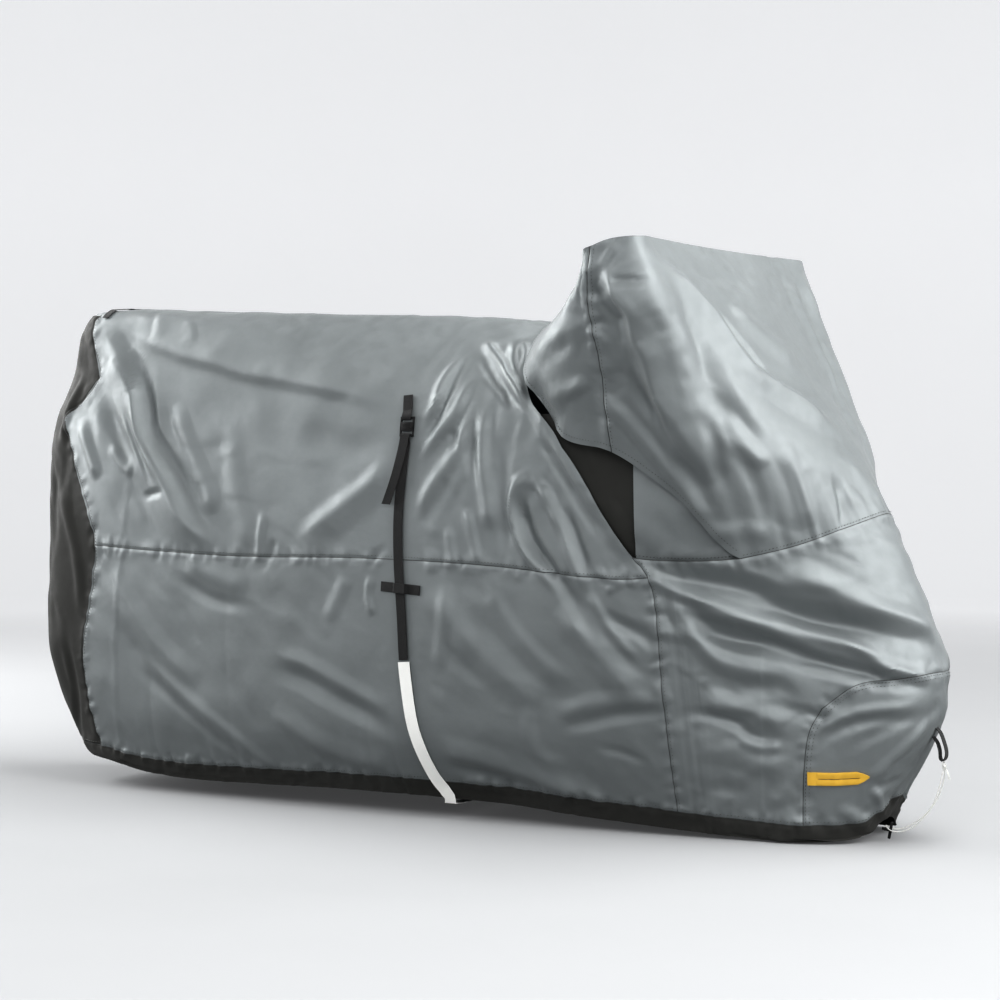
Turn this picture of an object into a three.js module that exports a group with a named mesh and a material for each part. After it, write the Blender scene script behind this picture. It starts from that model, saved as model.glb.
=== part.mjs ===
/*
 * Fitted motorcycle cover of silver grey coated nylon, drawn over a large motorcycle.
 *
 * The cloth is a hollow shell, open at the bottom. Its shape is faired through two tables of offsets, as a
 * boat's hull is: one for the body, from stern to bow, and one for the hood that stands over the handlebar.
 * A place on either surface is (station, level). Stations are the rows of a table and levels its columns,
 * and places between them are faired by Catmull-Rom curves. Seams run along stations and levels or along
 * short lines between them, so neighbouring panels share their seam points exactly.
 *
 * Millimetres, +X to the front, +Y to the left side of the machine, +Z up. Heights in the tables are above
 * the floor. The origin is the underside of the cloth on top of the saddle, which carries the cover.
 */
import * as THREE from "three";

// Driving sizes
const SADDLE_HEIGHT = 1100;
const CLOTH = 2;
const WEBBING = 1.6;
const SEAM_GAP = 0.55;
const FOLD_STEPS = 6;
const RIGHT = -1;
const LEFT = 1;
const SIDES = [RIGHT, LEFT];
const UP = new THREE.Vector3(0, 0, 1);

// Body stations. Columns: crown, rim, shoulder, flank, waist, lower, band, hem, each [x, half width, height]
const BODY_ROWS = [
  ["stern", [-900, 0, 1145], [-1085, 0, 1133], [-1155, 0, 975], [-1214, 0, 800],
    [-1222, 0, 575], [-1224, 0, 315], [-1150, 0, 110], [-1130, 0, 75]],
  ["stern corner", [-880, 0, 1145], [-1070, 120, 1137], [-1135, 145, 975], [-1186, 165, 800],
    [-1184, 178, 580], [-1186, 174, 315], [-1108, 145, 105], [-1090, 138, 71]],
  ["tail seam", [-840, 0, 1145], [-1015, 180, 1136], [-1015, 205, 975], [-1030, 225, 795],
    [-1005, 235, 583], [-1040, 230, 315], [-1000, 208, 97], [-975, 203, 63]],
  ["tail", [-760, 0, 1139], [-820, 165, 1137], [-820, 215, 1075], [-830, 240, 815],
    [-830, 255, 575], [-830, 250, 305], [-810, 230, 75], [-805, 224, 37]],
  ["rear flank", [-520, 0, 1127], [-530, 150, 1121], [-520, 235, 1025], [-520, 260, 815],
    [-520, 275, 567], [-520, 275, 305], [-515, 248, 75], [-515, 240, 35]],
  ["seat", [-200, 0, 1111], [-200, 130, 1105], [-190, 250, 960], [-190, 280, 795],
    [-190, 292, 571], [-190, 288, 305], [-190, 258, 81], [-190, 250, 41]],
  ["tank", [80, 0, 1097], [80, 110, 1091], [100, 245, 955], [110, 285, 795],
    [130, 296, 563], [120, 288, 305], [120, 252, 77], [120, 244, 37]],
  ["lip", [190, 0, 1081], [200, 110, 1071], [225, 255, 950], [310, 290, 815],
    [370, 295, 545], [350, 282, 305], [340, 240, 65], [340, 232, 25]],
  ["front seam", [330, 0, 1085], [360, 170, 1055], [400, 270, 945], [470, 290, 795],
    [528, 286, 545], [550, 262, 305], [560, 215, 52], [560, 208, 12]],
  ["fork", [550, 0, 1075], [560, 180, 1015], [600, 250, 915], [650, 250, 775],
    [716, 235, 587], [715, 218, 305], [715, 190, 43], [715, 184, 5]],
  ["wheel seam", [660, 0, 1055], [680, 120, 975], [720, 190, 865], [770, 190, 755],
    [818, 180, 615], [850, 178, 305], [830, 168, 39], [830, 162, 3]],
  ["bow corner", [740, 0, 995], [780, 60, 915], [820, 100, 815], [860, 110, 735],
    [900, 100, 653], [1010, 120, 315], [925, 100, 47], [918, 96, 13]],
  ["bow", [800, 0, 955], [830, 0, 885], [860, 0, 815], [895, 0, 755],
    [940, 0, 677], [1066, 0, 335], [972, 0, 95], [945, 0, 45]],
];
const CROWN = 0;
const RIM = 1;
const WAIST = 4;
const BAND = 6;
const HEM = 7;
const TAIL_STATION = 2;
const FRONT_SEAM_STATION = 8;
const FORK_STATION = 9;
const WHEEL_STATION = 10;
const BOW = 12;

// Hood stations. Columns: ridge, upper, middle, low, edge, each [x, half width, height]
const HOOD_ROWS = [
  ["rear centre", [470, 0, 1231], [385, 0, 1168], [310, 0, 1126], [245, 0, 1104], [185, 0, 1095]],
  ["rear quarter", [465, 230, 1229], [395, 210, 1168], [325, 180, 1124], [260, 145, 1100], [195, 105, 1091]],
  ["rear edge", [444, 412, 1216], [428, 405, 1155], [375, 378, 1090], [300, 338, 1030], [226, 282, 964]],
  ["strip", [452, 416, 1220], [438, 404, 1135], [420, 388, 1050], [385, 355, 945], [330, 300, 838]],
  ["hood seam", [463, 415, 1223], [450, 400, 1115], [460, 380, 1015], [459, 348, 912], [459, 315, 805]],
  ["flap", [508, 413, 1237], [515, 397, 1123], [528, 372, 1005], [552, 332, 875], [600, 280, 705]],
  ["hood corner", [562, 405, 1241], [590, 398, 1130], [620, 360, 1005], [665, 305, 830], [716, 235, 587]],
  ["front side", [557, 300, 1243], [628, 295, 1115], [705, 272, 965], [780, 228, 795], [818, 180, 615]],
  ["front quarter", [556, 160, 1241], [655, 160, 1100], [755, 150, 935], [845, 125, 785], [900, 100, 653]],
  ["front centre", [558, 0, 1240], [670, 0, 1093], [785, 0, 920], [875, 0, 790], [940, 0, 677]],
];
const RIDGE = 0;
const HOOD_EDGE = 4;
const HOOD_REAR_CORNER = 2;
const HOOD_SEAM_STATION = 4;
const HOOD_CORNER = 6;
const HOOD_FRONT = 9;
const SEAM_EASE = 1.2;

// Cells between neighbouring stations and between neighbouring levels
const BODY_COLUMNS = [3, 3, 3, 5, 6, 5, 3, 3, 3, 3, 3, 3];
const BODY_LEVELS = [2, 3, 4, 4, 4, 4, 1];
const HOOD_COLUMNS = [4, 5, 2, 3, 3, 2, 3, 3, 3];
const HOOD_LEVELS = [2, 3, 3, 2];

// Seam lines, as [station, level] places from top to bottom or from rear to front
const TAIL_SEAM = [[2, 1], [2.05, 1.5], [2.1, 2], [1.45, 2.5], [1.75, 3], [2.1, 4], [2.03, 5.2], [2, 6]];
const LIP = [[7.25, 0], [7.25, 1], [7.1, 1.7], [6.97, 2], [6.98, 2.4], [7.12, 3], [7.5, 3.5], [7.84, 3.83]];
const FRONT_SEAM = [[7.84, 3.83], [8, 4], [8, 5], [8, 6]];
const HOOD_SEAM = [[7.84, 3.83], [8.2, 3.88], [8.73, 3.97], [9, 4]];
const WHEEL_CORNER = [10.12, 5.08];
const WHEEL_SEAM_SIDE = [WHEEL_CORNER, [9.96, 5.25], [9.92, 5.5], [9.97, 6]];
const WHEEL_SEAM_TOP = [WHEEL_CORNER, [10.5, 4.93], [11, 4.91], [12, 4.94]];

// Main folds of the body: path of [station, level] places, half width, height above the cloth
const BODY_FOLDS = [
  { name: "tail ridge", side: RIGHT, path: [[2.2, 1.4], [2.7, 2.2], [3.2, 3.3], [3.8, 4]], wide: 60,
    high: 16 },
  { name: "tail trough", side: RIGHT, path: [[2.8, 2.1], [3, 2.8], [3.4, 3.4], [3.9, 3.9]], wide: 60,
    high: -14 },
  { name: "gusset trough", side: RIGHT, path: [[2.3, 2.2], [2.6, 2.8], [2.9, 3.3]], wide: 60, high: -12 },
  { name: "gusset ridge", side: RIGHT, path: [[1.8, 2.6], [2.3, 3.3]], wide: 60, high: 12 },
  { name: "rear slant", side: RIGHT, path: [[2.5, 4.6], [3.5, 5.2], [4.2, 5.9]], wide: 60, high: 9 },
  { name: "belt slant", side: RIGHT, path: [[4.2, 4.9], [4.8, 5.13], [5.4, 5.5]], wide: 60, high: 9 },
  { name: "tank fan rear", side: RIGHT, path: [[5.5, 1.3], [5.5, 2.2], [5.4, 2.9]], wide: 55, high: 8 },
  { name: "tank fan middle", side: RIGHT, path: [[5.8, 1.2], [5.8, 2.5], [5.7, 3.6]], wide: 60, high: 10 },
  { name: "tank fan front", side: RIGHT, path: [[6.1, 1.2], [6.3, 2.6], [6.35, 3.1]], wide: 60, high: -9 },
  { name: "drop fold", side: RIGHT, path: [[6.4, 3.2], [6.45, 3.6], [6.7, 4], [7.3, 4.6]], wide: 60,
    high: -18 },
  { name: "drop crest", side: RIGHT, path: [[6.65, 3.3], [6.9, 3.8], [7.4, 4.2], [7.8, 4.6]], wide: 60,
    high: 12 },
  { name: "lip roll", side: RIGHT, path: [[6.97, 2], [7.05, 3], [7.4, 3.42], [7.84, 3.83]], wide: 50,
    high: 10 },
  { name: "pull crest", side: RIGHT, path: [[8, 3.95], [8.5, 4.2], [9.4, 4.5], [10.5, 4.68], [12, 4.9]],
    wide: 55, high: 16 },
  { name: "upper trough", side: RIGHT, path: [[8.3, 3.98], [9.1, 4.2], [9.9, 4.4], [10.8, 4.6]], wide: 55,
    high: -18 },
  { name: "lower trough", side: RIGHT, path: [[8.5, 4.3], [9.4, 4.62], [10.5, 4.78], [11.3, 4.85]],
    wide: 50, high: -12 },
  { name: "bow crest", side: RIGHT, path: [[10, 4.15], [10.8, 4.38], [11.9, 4.7]], wide: 70, high: 14 },
  { name: "hem swell", side: RIGHT, path: [[5.7, 5.55], [6.2, 5.63], [7.4, 5.93]], wide: 60, high: 10 },
  { name: "low wave", side: RIGHT, path: [[6.6, 5.03], [7.9, 4.9], [8.7, 4.95], [9.4, 5.07]], wide: 60,
    high: 8 },
  { name: "tail ridge", side: LEFT, path: [[2.3, 1.5], [2.9, 2.6], [3.4, 3.9]], wide: 70, high: 15 },
  { name: "tail trough", side: LEFT, path: [[2.9, 2], [3.5, 3], [4.1, 3.9]], wide: 70, high: -13 },
  { name: "rear slant", side: LEFT, path: [[2.6, 4.4], [3.8, 5.2], [4.6, 5.9]], wide: 70, high: 10 },
  { name: "saddle fan", side: LEFT, path: [[5.2, 1.3], [5.1, 2.6], [4.8, 3.7]], wide: 70, high: 11 },
  { name: "tank fan", side: LEFT, path: [[6, 1.3], [6, 2.6], [6.1, 3.5]], wide: 70, high: -11 },
  { name: "drop fold", side: LEFT, path: [[6.5, 3.1], [6.7, 4], [7.3, 4.8]], wide: 65, high: -15 },
  { name: "lip roll", side: LEFT, path: [[6.97, 2], [7.05, 3], [7.4, 3.42], [7.84, 3.83]], wide: 50,
    high: 10 },
  { name: "pull crest", side: LEFT, path: [[8, 3.95], [8.6, 4.25], [10, 4.6], [12, 4.9]], wide: 60, high: 13 },
  { name: "pull trough", side: LEFT, path: [[8.4, 4.1], [9.4, 4.3], [10.6, 4.5]], wide: 60, high: -15 },
  { name: "low wave", side: LEFT, path: [[5.8, 5.2], [7.2, 5], [8.8, 5.2]], wide: 70, high: 9 },
];

// Main folds of the hood, in the hood's own stations and levels
const HOOD_FOLDS = [
  { name: "tuck", side: RIGHT, path: [[2.15, 4], [2.5, 4], [2.95, 4]], wide: 75, high: -20 },
  { name: "tuck", side: LEFT, path: [[2.15, 4], [2.5, 4], [2.95, 4]], wide: 75, high: -20 },
  { name: "long crest", side: RIGHT, path: [[6.5, 0.15], [6.9, 1.4], [7.4, 2.3], [8, 3.2]], wide: 60,
    high: 12 },
  { name: "side trough", side: RIGHT, path: [[5.2, 1.6], [5.6, 2.7], [5.9, 3.5]], wide: 70, high: -14 },
  { name: "corner crest", side: RIGHT, path: [[6.3, 1], [6.3, 2.2], [6.4, 3.2]], wide: 55, high: 11 },
  { name: "front trough", side: RIGHT, path: [[8.2, 0.4], [8.5, 1.6], [8.6, 2.8]], wide: 70, high: -10 },
  { name: "far crest", side: LEFT, path: [[7.2, 0.3], [7.8, 1.6], [8.3, 3]], wide: 70, high: 9 },
  { name: "side trough", side: LEFT, path: [[5, 1.4], [5.4, 2.6], [5.7, 3.5]], wide: 75, high: -14 },
];

// The belt runs down the right side, under the hem and up to the hem band of the left side. The pieces on it
// are placed by their distance along its line, and by their height over the cloth
const BELT_LINE = [[5.36, 2.17], [5.38, 2.63], [5.36, 3.13], [5.33, 3.6], [5.33, 4], [5.36, 4.5], [5.38, 4.9],
  [5.43, 5.33], [5.48, 5.6], [5.53, 5.9], [5.59, 6.23], [5.62, 6.95]];
const BELT_PRESS = { from: 24, to: 80 };
const BELT_LIFT = 5;
const BUCKLE = { along: 70, length: 44, width: 35, thick: 4, bar: 5, slot: 7, lift: 2 };
const BAR_TOP = BUCKLE.lift + BUCKLE.thick;
const BELT_TAB = { width: 24, rise: 14 };
const BELT_STRAP = { width: 24, to: 582, rows: 16 };
const LOOSE_END = { width: 23, length: 150, drift: -30, rows: 7 };
const BELT_SLEEVE = { width: 30, from: 586, rows: 10, under: 24, inset: 30,
  returnLine: [[5.62, 6.95], [5.62, 5.9]] };
const KEEPER = { line: [[5.19, 4.235], [5.345, 4.245], [5.5, 4.255]], width: 22, clear: 18.5 };

// Yellow welt of the lock slit, at the wheel panel on each side
const WELT = { line: [[9.98, 5.56], [10.4, 5.56], [10.84, 5.55]], width: 27, thick: 2.4, slit: 1.6,
  lift: 3.6 };
const WELT_ROWS = [[0, 1], [0.14, 1], [0.36, 1], [0.6, 1], [0.8, 1], [0.9, 0.62], [0.99, 0.12]];

// Webbing tab over the top of the tail
const TAIL_TAB = {
  line: [[2.22, 1.12], [2.18, 0.96], [2.02, 0.78], [1.74, 0.64], [1.34, 0.56], [0.9, 0.5], [0, 0.42]],
  width: 20, lift: 4.2, rows: 9,
};

// Webbing loop that hangs from the bow, as [x, height] places of its bight, and the cord that is tied to it
// and hooked around the toggle, as places over the floor
const LOOP = {
  width: 18,
  bight: [[1049.5, 238], [1058, 229], [1067, 208], [1072, 188], [1070, 175], [1064, 169], [1058, 173],
    [1056, 190], [1051, 206], [1042, 218]],
};
const CORD = { diameter: 2.4, sides: 8, steps: 60 };
const CORD_ROUTE = [
  [1066, -4, 150], [1064, -7, 139], [1061, -9, 122], [1055, -11, 100], [1046, -13, 78], [1032, -15, 57],
  [1014, -19, 38], [996, -24, 26], [982, -29, 21], [972, -33, 20.5], [963, -35, 23], [955, -34, 28],
  [950, -29, 31.5], [953, -24, 30], [961, -21.5, 26], [970, -18, 24], [984, -13.5, 27], [1003, -9, 37],
  [1022, -5, 52], [1040, -1.5, 72], [1053, 1, 94], [1061, 3, 117], [1065, 4, 136], [1066, 4.5, 150],
];
const KNOT_ROUTE = [[1064, 0, 167.8], [1065, 0, 164], [1066, 0, 159.5], [1068, 0, 156], [1072, -1, 151],
  [1076, -3, 143], [1080, -5, 134]];
const KNOT_RADII = [2.5, 6, 6.5, 4, 2.8, 3, 3.6];
const TOGGLE = { x: 963, y: -27, height: 22, bar: 36, stem: 15, wide: 6, thick: 4, lean: 0.18, turn: 0.2 };

const material = (color, roughness) => new THREE.MeshStandardMaterial({ color, roughness, metalness: 0 });
const GREY_CLOTH = material(0x7b8281, 0.42);
const BLACK_CLOTH = material(0x2c2c2a, 0.6);
const BLACK_WEBBING = material(0x1c1c1c, 0.75);
const BLACK_PLASTIC = material(0x151515, 0.4);
const WHITE_WEBBING = material(0xe6e6e0, 0.7);
const YELLOW_CLOTH = material(0xe2b23c, 0.6);
const WHITE_CORD = material(0xeeeeea, 0.5);

const smooth = (t) => {
  const x = Math.min(Math.max(t, 0), 1);
  return x * x * (3 - 2 * x);
};

// Catmull-Rom curve through b and c between neighbours a and d; knots are even, or spaced by the root of the
// chords where stations crowd together
function fair(a, b, c, d, t, even) {
  const gap = (p, q) => (even ? 1 : Math.sqrt(Math.max(p.distanceTo(q), 1)));
  const [before, here, after] = [gap(a, b), gap(b, c), gap(c, d)];
  const slope = (p, q, r, first, second) => q.clone().sub(p).divideScalar(first)
    .sub(r.clone().sub(p).divideScalar(first + second)).add(r.clone().sub(q).divideScalar(second))
    .multiplyScalar(here);
  const start = slope(a, b, c, before, here);
  const end = slope(b, c, d, here, after);
  const [t2, t3] = [t * t, t * t * t];
  return b.clone().multiplyScalar(2 * t3 - 3 * t2 + 1).addScaledVector(start, t3 - 2 * t2 + t)
    .addScaledVector(c, 3 * t2 - 2 * t3).addScaledVector(end, t3 - t2);
}

// A surface faired through a table of offsets; it is mirrored about the middle plane for the left side
class Loft {
  constructor(rows, { crossesTop, evenStations }) {
    this.rows = rows.map((row) => row.slice(1).map((p) => new THREE.Vector3(...p)));
    this.crossesTop = crossesTop;
    this.evenStations = evenStations;
  }

  station(index, level) {
    const last = this.rows.length - 1;
    const mirrored = index < 0 || index > last;
    const row = this.rows[index < 0 ? -index : index > last ? 2 * last - index : index];
    const k = Math.min(Math.max(Math.floor(level), 0), row.length - 2);
    const above = row[0].clone().multiplyScalar(2).sub(row[1]);
    if (this.crossesTop) above.set(above.x, -row[1].y, row[1].z);
    const below = row[row.length - 1].clone().multiplyScalar(2).sub(row[row.length - 2]);
    const place = fair(k > 0 ? row[k - 1] : above, row[k], row[k + 1], k + 2 < row.length ? row[k + 2] : below,
      level - k, true);
    if (mirrored) place.y = -place.y;
    return place;
  }

  point(u, v, side) {
    const k = Math.min(Math.max(Math.floor(u), 0), this.rows.length - 2);
    const near = [k - 1, k, k + 1, k + 2].map((index) => this.station(index, v));
    const place = fair(...near, u - k, this.evenStations);
    place.y *= side;
    return place;
  }

  // Outward normal, from differences along the station and the level
  normal(u, v, side) {
    const step = 0.02;
    const top = this.rows[0].length - 1;
    const along = this.point(u + step, v, side).sub(this.point(u - step, v, side));
    const down = this.point(u, Math.min(v + step, top), side).sub(this.point(u, Math.max(v - step, 0), side));
    const normal = side === RIGHT ? down.cross(along) : along.cross(down);
    if (u <= 0 || u >= this.rows.length - 1 || (this.crossesTop && v <= 0)) normal.y = 0;
    return normal.lengthSq() > 1e-6 ? normal.normalize() : UP.clone();
  }
}

const BODY = new Loft(BODY_ROWS, { crossesTop: true, evenStations: true });
const HOOD = new Loft(HOOD_ROWS, { crossesTop: false, evenStations: false });

// Points of a path of [station, level] places, faired through its knots
function pathPlaces(knots, steps) {
  const flat = knots.map(([u, v]) => new THREE.Vector3(u, v, 0));
  const curve = new THREE.CatmullRomCurve3(flat, false, "centripetal");
  return curve.getPoints(steps).map((p) => [p.x, p.y]);
}

const tracePath = (loft, path, side) => pathPlaces(path, FOLD_STEPS).map(([u, v]) => loft.point(u, v, side));

// Distance from a point to a traced path, and how far along the path its nearest place is, from 0 to 1
function nearestOnPath(point, trace) {
  const nearest = { distance: Infinity, along: 0 };
  const segment = new THREE.Line3();
  const foot = new THREE.Vector3();
  for (let k = 0; k + 1 < trace.length; k += 1) {
    segment.set(trace[k], trace[k + 1]);
    segment.closestPointToPoint(point, true, foot);
    const distance = foot.distanceTo(point);
    if (distance < nearest.distance) {
      nearest.distance = distance;
      nearest.along = (k + segment.closestPointToPointParameter(foot, true)) / (trace.length - 1);
    }
  }
  return nearest;
}

const traceFolds = (loft, folds) => folds
  .map((fold) => ({ ...fold, trace: tracePath(loft, fold.path, fold.side) }));
const bodyFolds = traceFolds(BODY, BODY_FOLDS);
const hoodFolds = traceFolds(HOOD, HOOD_FOLDS);
const beltTrace = tracePath(BODY, BELT_LINE, RIGHT);

// Height of the folds over a bare point of the cloth; each fold fades towards its ends and its edges
function foldHeight(point, folds) {
  let height = 0;
  for (const { trace, wide, high } of folds) {
    const { distance, along } = nearestOnPath(point, trace);
    if (distance >= wide) continue;
    const taper = smooth(5 * along + 0.3) * smooth(5 * (1 - along) + 0.3);
    height += high * smooth(1 - distance / wide) * taper;
  }
  return height;
}

// The belt presses the folds beneath it flat
function beltPress(point) {
  const { distance } = nearestOnPath(point, beltTrace);
  return smooth((distance - BELT_PRESS.from) / (BELT_PRESS.to - BELT_PRESS.from));
}

// A place of the draped body: its point, and its normal for thickness and for what is sewn on
function bodyPlace(u, v, side, lift = 0) {
  const point = BODY.point(u, v, side);
  const normal = BODY.normal(u, v, side);
  const height = foldHeight(point, bodyFolds) * beltPress(point);
  return { point: point.addScaledVector(normal, height + lift), normal };
}

// A place of the draped hood; near its front corners and on, its edge follows the front panel's seam. Its
// ridge is a folded edge, where the normal is halfway between the side and the flat top
function hoodPlace(u, v, side) {
  const drape = (station, level) => {
    const point = HOOD.point(station, level, side);
    return point.addScaledVector(HOOD.normal(station, level, side), foldHeight(point, hoodFolds));
  };
  const point = drape(u, v);
  const normal = HOOD.normal(u, v, side);
  const ease = smooth(u - HOOD_CORNER + 1) * smooth((v - HOOD_EDGE + SEAM_EASE) / SEAM_EASE);
  if (ease > 0) {
    const station = Math.max(u, HOOD_CORNER);
    const seam = bodyPlace(station - HOOD_CORNER + FORK_STATION, WAIST, side);
    point.add(seam.point.sub(drape(station, HOOD_EDGE)).multiplyScalar(ease));
    normal.lerp(seam.normal, ease).normalize();
  }
  if (v <= RIDGE) normal.add(UP).normalize();
  return { point, normal };
}

// A sheet of cloth: welded grid blocks with an outward normal at each point, thickened into a closed solid
class Sheet {
  constructor(thick = CLOTH) {
    this.thick = thick;
    this.points = [];
    this.normals = [];
    this.triangles = [];
    this.welded = new Map();
  }

  vertex({ point, normal }) {
    const key = point.toArray().map((c) => Math.round(c * 20)).join(" ");
    if (!this.welded.has(key)) {
      this.welded.set(key, this.points.length);
      this.points.push(point.clone());
      this.normals.push(new THREE.Vector3());
    }
    const index = this.welded.get(key);
    this.normals[index].add(normal);
    return index;
  }

  // Adds a grid of places, rows by columns, each cell split along its shorter diagonal
  block(rows) {
    const grid = rows.map((row) => row.map((place) => this.vertex(place)));
    for (let i = 0; i + 1 < grid.length; i += 1) {
      for (let j = 0; j + 1 < grid[i].length; j += 1) {
        const [a, b, c, d] = [grid[i][j], grid[i][j + 1], grid[i + 1][j + 1], grid[i + 1][j]];
        const short = this.points[a].distanceTo(this.points[c]) <= this.points[b].distanceTo(this.points[d]);
        const split = short ? [[a, b, c], [a, c, d]] : [[a, b, d], [b, c, d]];
        split.forEach((triangle) => this.face(triangle));
      }
    }
    return this;
  }

  // Adds a triangle facing along the normals of its corners; a cell with merged corners gives none
  face([a, b, c]) {
    if (a === b || b === c || a === c) return;
    const [p, q, r] = [this.points[a], this.points[b], this.points[c]];
    const facing = q.clone().sub(p).cross(r.clone().sub(p));
    const outward = this.normals[a].clone().add(this.normals[b]).add(this.normals[c]);
    this.triangles.push(facing.dot(outward) >= 0 ? [a, b, c] : [a, c, b]);
  }

  // Directed edges that only one triangle uses
  rim() {
    const edges = new Map();
    for (const [a, b, c] of this.triangles) {
      for (const [from, to] of [[a, b], [b, c], [c, a]]) edges.set(`${from} ${to}`, [from, to]);
    }
    return [...edges.values()].filter(([from, to]) => !edges.has(`${to} ${from}`));
  }

  // Draws the rim in by half of the seam gap, so that neighbouring panels stay apart
  drawIn(rim) {
    const onRim = new Set(rim.flat());
    const pulls = new Map([...onRim].map((index) => [index, new THREE.Vector3()]));
    for (const triangle of this.triangles) {
      const centre = new THREE.Vector3();
      triangle.forEach((index) => centre.addScaledVector(this.points[index], 1 / 3));
      triangle.filter((index) => onRim.has(index))
        .forEach((index) => pulls.get(index).add(centre.clone().sub(this.points[index]).normalize()));
    }
    for (const [index, pull] of pulls) this.points[index].addScaledVector(pull.normalize(), SEAM_GAP);
  }

  solid() {
    const rim = this.rim();
    this.drawIn(rim);
    const count = this.points.length;
    const inner = this.points.map((point, k) => point.clone()
      .addScaledVector(this.normals[k].clone().normalize(), -this.thick));
    const faces = this.triangles.flatMap(([a, b, c]) => [a, b, c, a + count, c + count, b + count]);
    for (const [a, b] of rim) faces.push(b, a, a + count, b, a + count, b + count);
    const geometry = new THREE.BufferGeometry();
    const positions = [...this.points, ...inner].flatMap((point) => point.toArray());
    geometry.setAttribute("position", new THREE.Float32BufferAttribute(positions, 3));
    geometry.setIndex(faces);
    return geometry;
  }
}

const group = new THREE.Group();

function place(name, geometry, finish) {
  geometry.computeVertexNormals();
  const mesh = new THREE.Mesh(geometry, finish);
  mesh.name = name;
  mesh.position.set(0, 0, -SADDLE_HEIGHT);
  group.add(mesh);
}

// Values from one station or level to another, with the given cells in each whole interval between
function ticks(from, to, cells) {
  const values = [from];
  for (let k = Math.floor(from); k < to; k += 1) {
    for (let c = 1; c <= cells[k]; c += 1) {
      const value = k + c / cells[k];
      if (value > from + 1e-9 && value < to - 1e-9) values.push(value);
    }
  }
  return [...values, to];
}

// The station of a seam line at a level
function seamStation(seam, level) {
  const last = seam.length - 1;
  if (level <= seam[0][1]) return seam[0][0];
  for (let k = 0; k < last; k += 1) {
    const [u0, v0] = seam[k];
    const [u1, v1] = seam[k + 1];
    if (level <= v1) return u0 + (u1 - u0) * (level - v0) / (v1 - v0);
  }
  return seam[last][0];
}

// A grid of places between a left and a right line, row by row, with the same columns in each row
function between(left, right, fractions, placeAt) {
  return left.map(([u0, v0], row) => {
    const [u1, v1] = right[row];
    return fractions.map((t) => placeAt(u0 + (u1 - u0) * t, v0 + (v1 - v0) * t));
  });
}

const evenly = (count) => Array.from({ length: count + 1 }, (_, k) => k / count);
const fractionsOf = (values) => values
  .map((value) => (value - values[0]) / (values[values.length - 1] - values[0]));
const rowsAt = (levels, station) => levels.map((level) => [station(level), level]);

// Upper body: over the saddle from waist to waist, and forward over the tail's top
function upperBody() {
  const sheet = new Sheet();
  const joint = LIP[LIP.length - 1];
  const levels = [...ticks(CROWN, 3.5, BODY_LEVELS), joint[1], WAIST];
  const left = rowsAt(levels, (level) => seamStation(TAIL_SEAM, level));
  const right = rowsAt(levels, (level) => (level === WAIST ? FRONT_SEAM_STATION : seamStation(LIP, level)));
  const columns = fractionsOf(ticks(TAIL_STATION, FRONT_SEAM_STATION, BODY_COLUMNS));
  const tailLevels = ticks(CROWN, RIM, BODY_LEVELS);
  const tailLeft = rowsAt(tailLevels, () => 0);
  const tailRight = rowsAt(tailLevels, () => TAIL_STATION);
  const tailColumns = fractionsOf(ticks(0, TAIL_STATION, BODY_COLUMNS));
  for (const side of SIDES) {
    sheet.block(between(left, right, columns, (u, v) => bodyPlace(u, v, side)));
    sheet.block(between(tailLeft, tailRight, tailColumns, (u, v) => bodyPlace(u, v, side)));
  }
  return sheet.solid();
}

// Black panel around the stern, from the rim to the hem band's level
function rearPanel() {
  const sheet = new Sheet();
  const levels = [...ticks(RIM, 3.5, BODY_LEVELS), LIP[LIP.length - 1][1], ...ticks(WAIST, BAND, BODY_LEVELS)];
  const left = rowsAt(levels, () => 0);
  const right = rowsAt(levels, (level) => seamStation(TAIL_SEAM, level));
  const columns = fractionsOf(ticks(0, TAIL_STATION, BODY_COLUMNS));
  for (const side of SIDES) sheet.block(between(left, right, columns, (u, v) => bodyPlace(u, v, side)));
  return sheet.solid();
}

// Lower side panel, from the tail seam to the front seam
function lowerPanel(side) {
  const levels = ticks(WAIST, BAND, BODY_LEVELS);
  const left = rowsAt(levels, (level) => seamStation(TAIL_SEAM, level));
  const right = rowsAt(levels, () => FRONT_SEAM_STATION);
  const columns = fractionsOf(ticks(TAIL_STATION, FRONT_SEAM_STATION, BODY_COLUMNS));
  return new Sheet().block(between(left, right, columns, (u, v) => bodyPlace(u, v, side))).solid();
}

// Lines that the front panel shares with the wheel panel, the hood and the hem band
const wheelCells = { above: 5, below: 4, across: 6 };
const wheelSide = pathPlaces(WHEEL_SEAM_SIDE, wheelCells.below);
const wheelTop = pathPlaces(WHEEL_SEAM_TOP, wheelCells.across);
const wheelRise = evenly(wheelCells.above)
  .map((t) => [WHEEL_STATION + (WHEEL_CORNER[0] - WHEEL_STATION) * t, WAIST + (WHEEL_CORNER[1] - WAIST) * t]);
const hoodSeam = [...pathPlaces(HOOD_SEAM, 4),
  ...ticks(FORK_STATION, WHEEL_STATION, BODY_COLUMNS).slice(1).map((u) => [u, WAIST])];
const wheelFoot = wheelSide[wheelCells.below][0];
const frontFoot = evenly(hoodSeam.length - 1)
  .map((t) => [FRONT_SEAM_STATION + (wheelFoot - FRONT_SEAM_STATION) * t, BAND]);
const bowFoot = evenly(wheelCells.across).map((t) => [wheelFoot + (BOW - wheelFoot) * t, BAND]);

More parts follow.
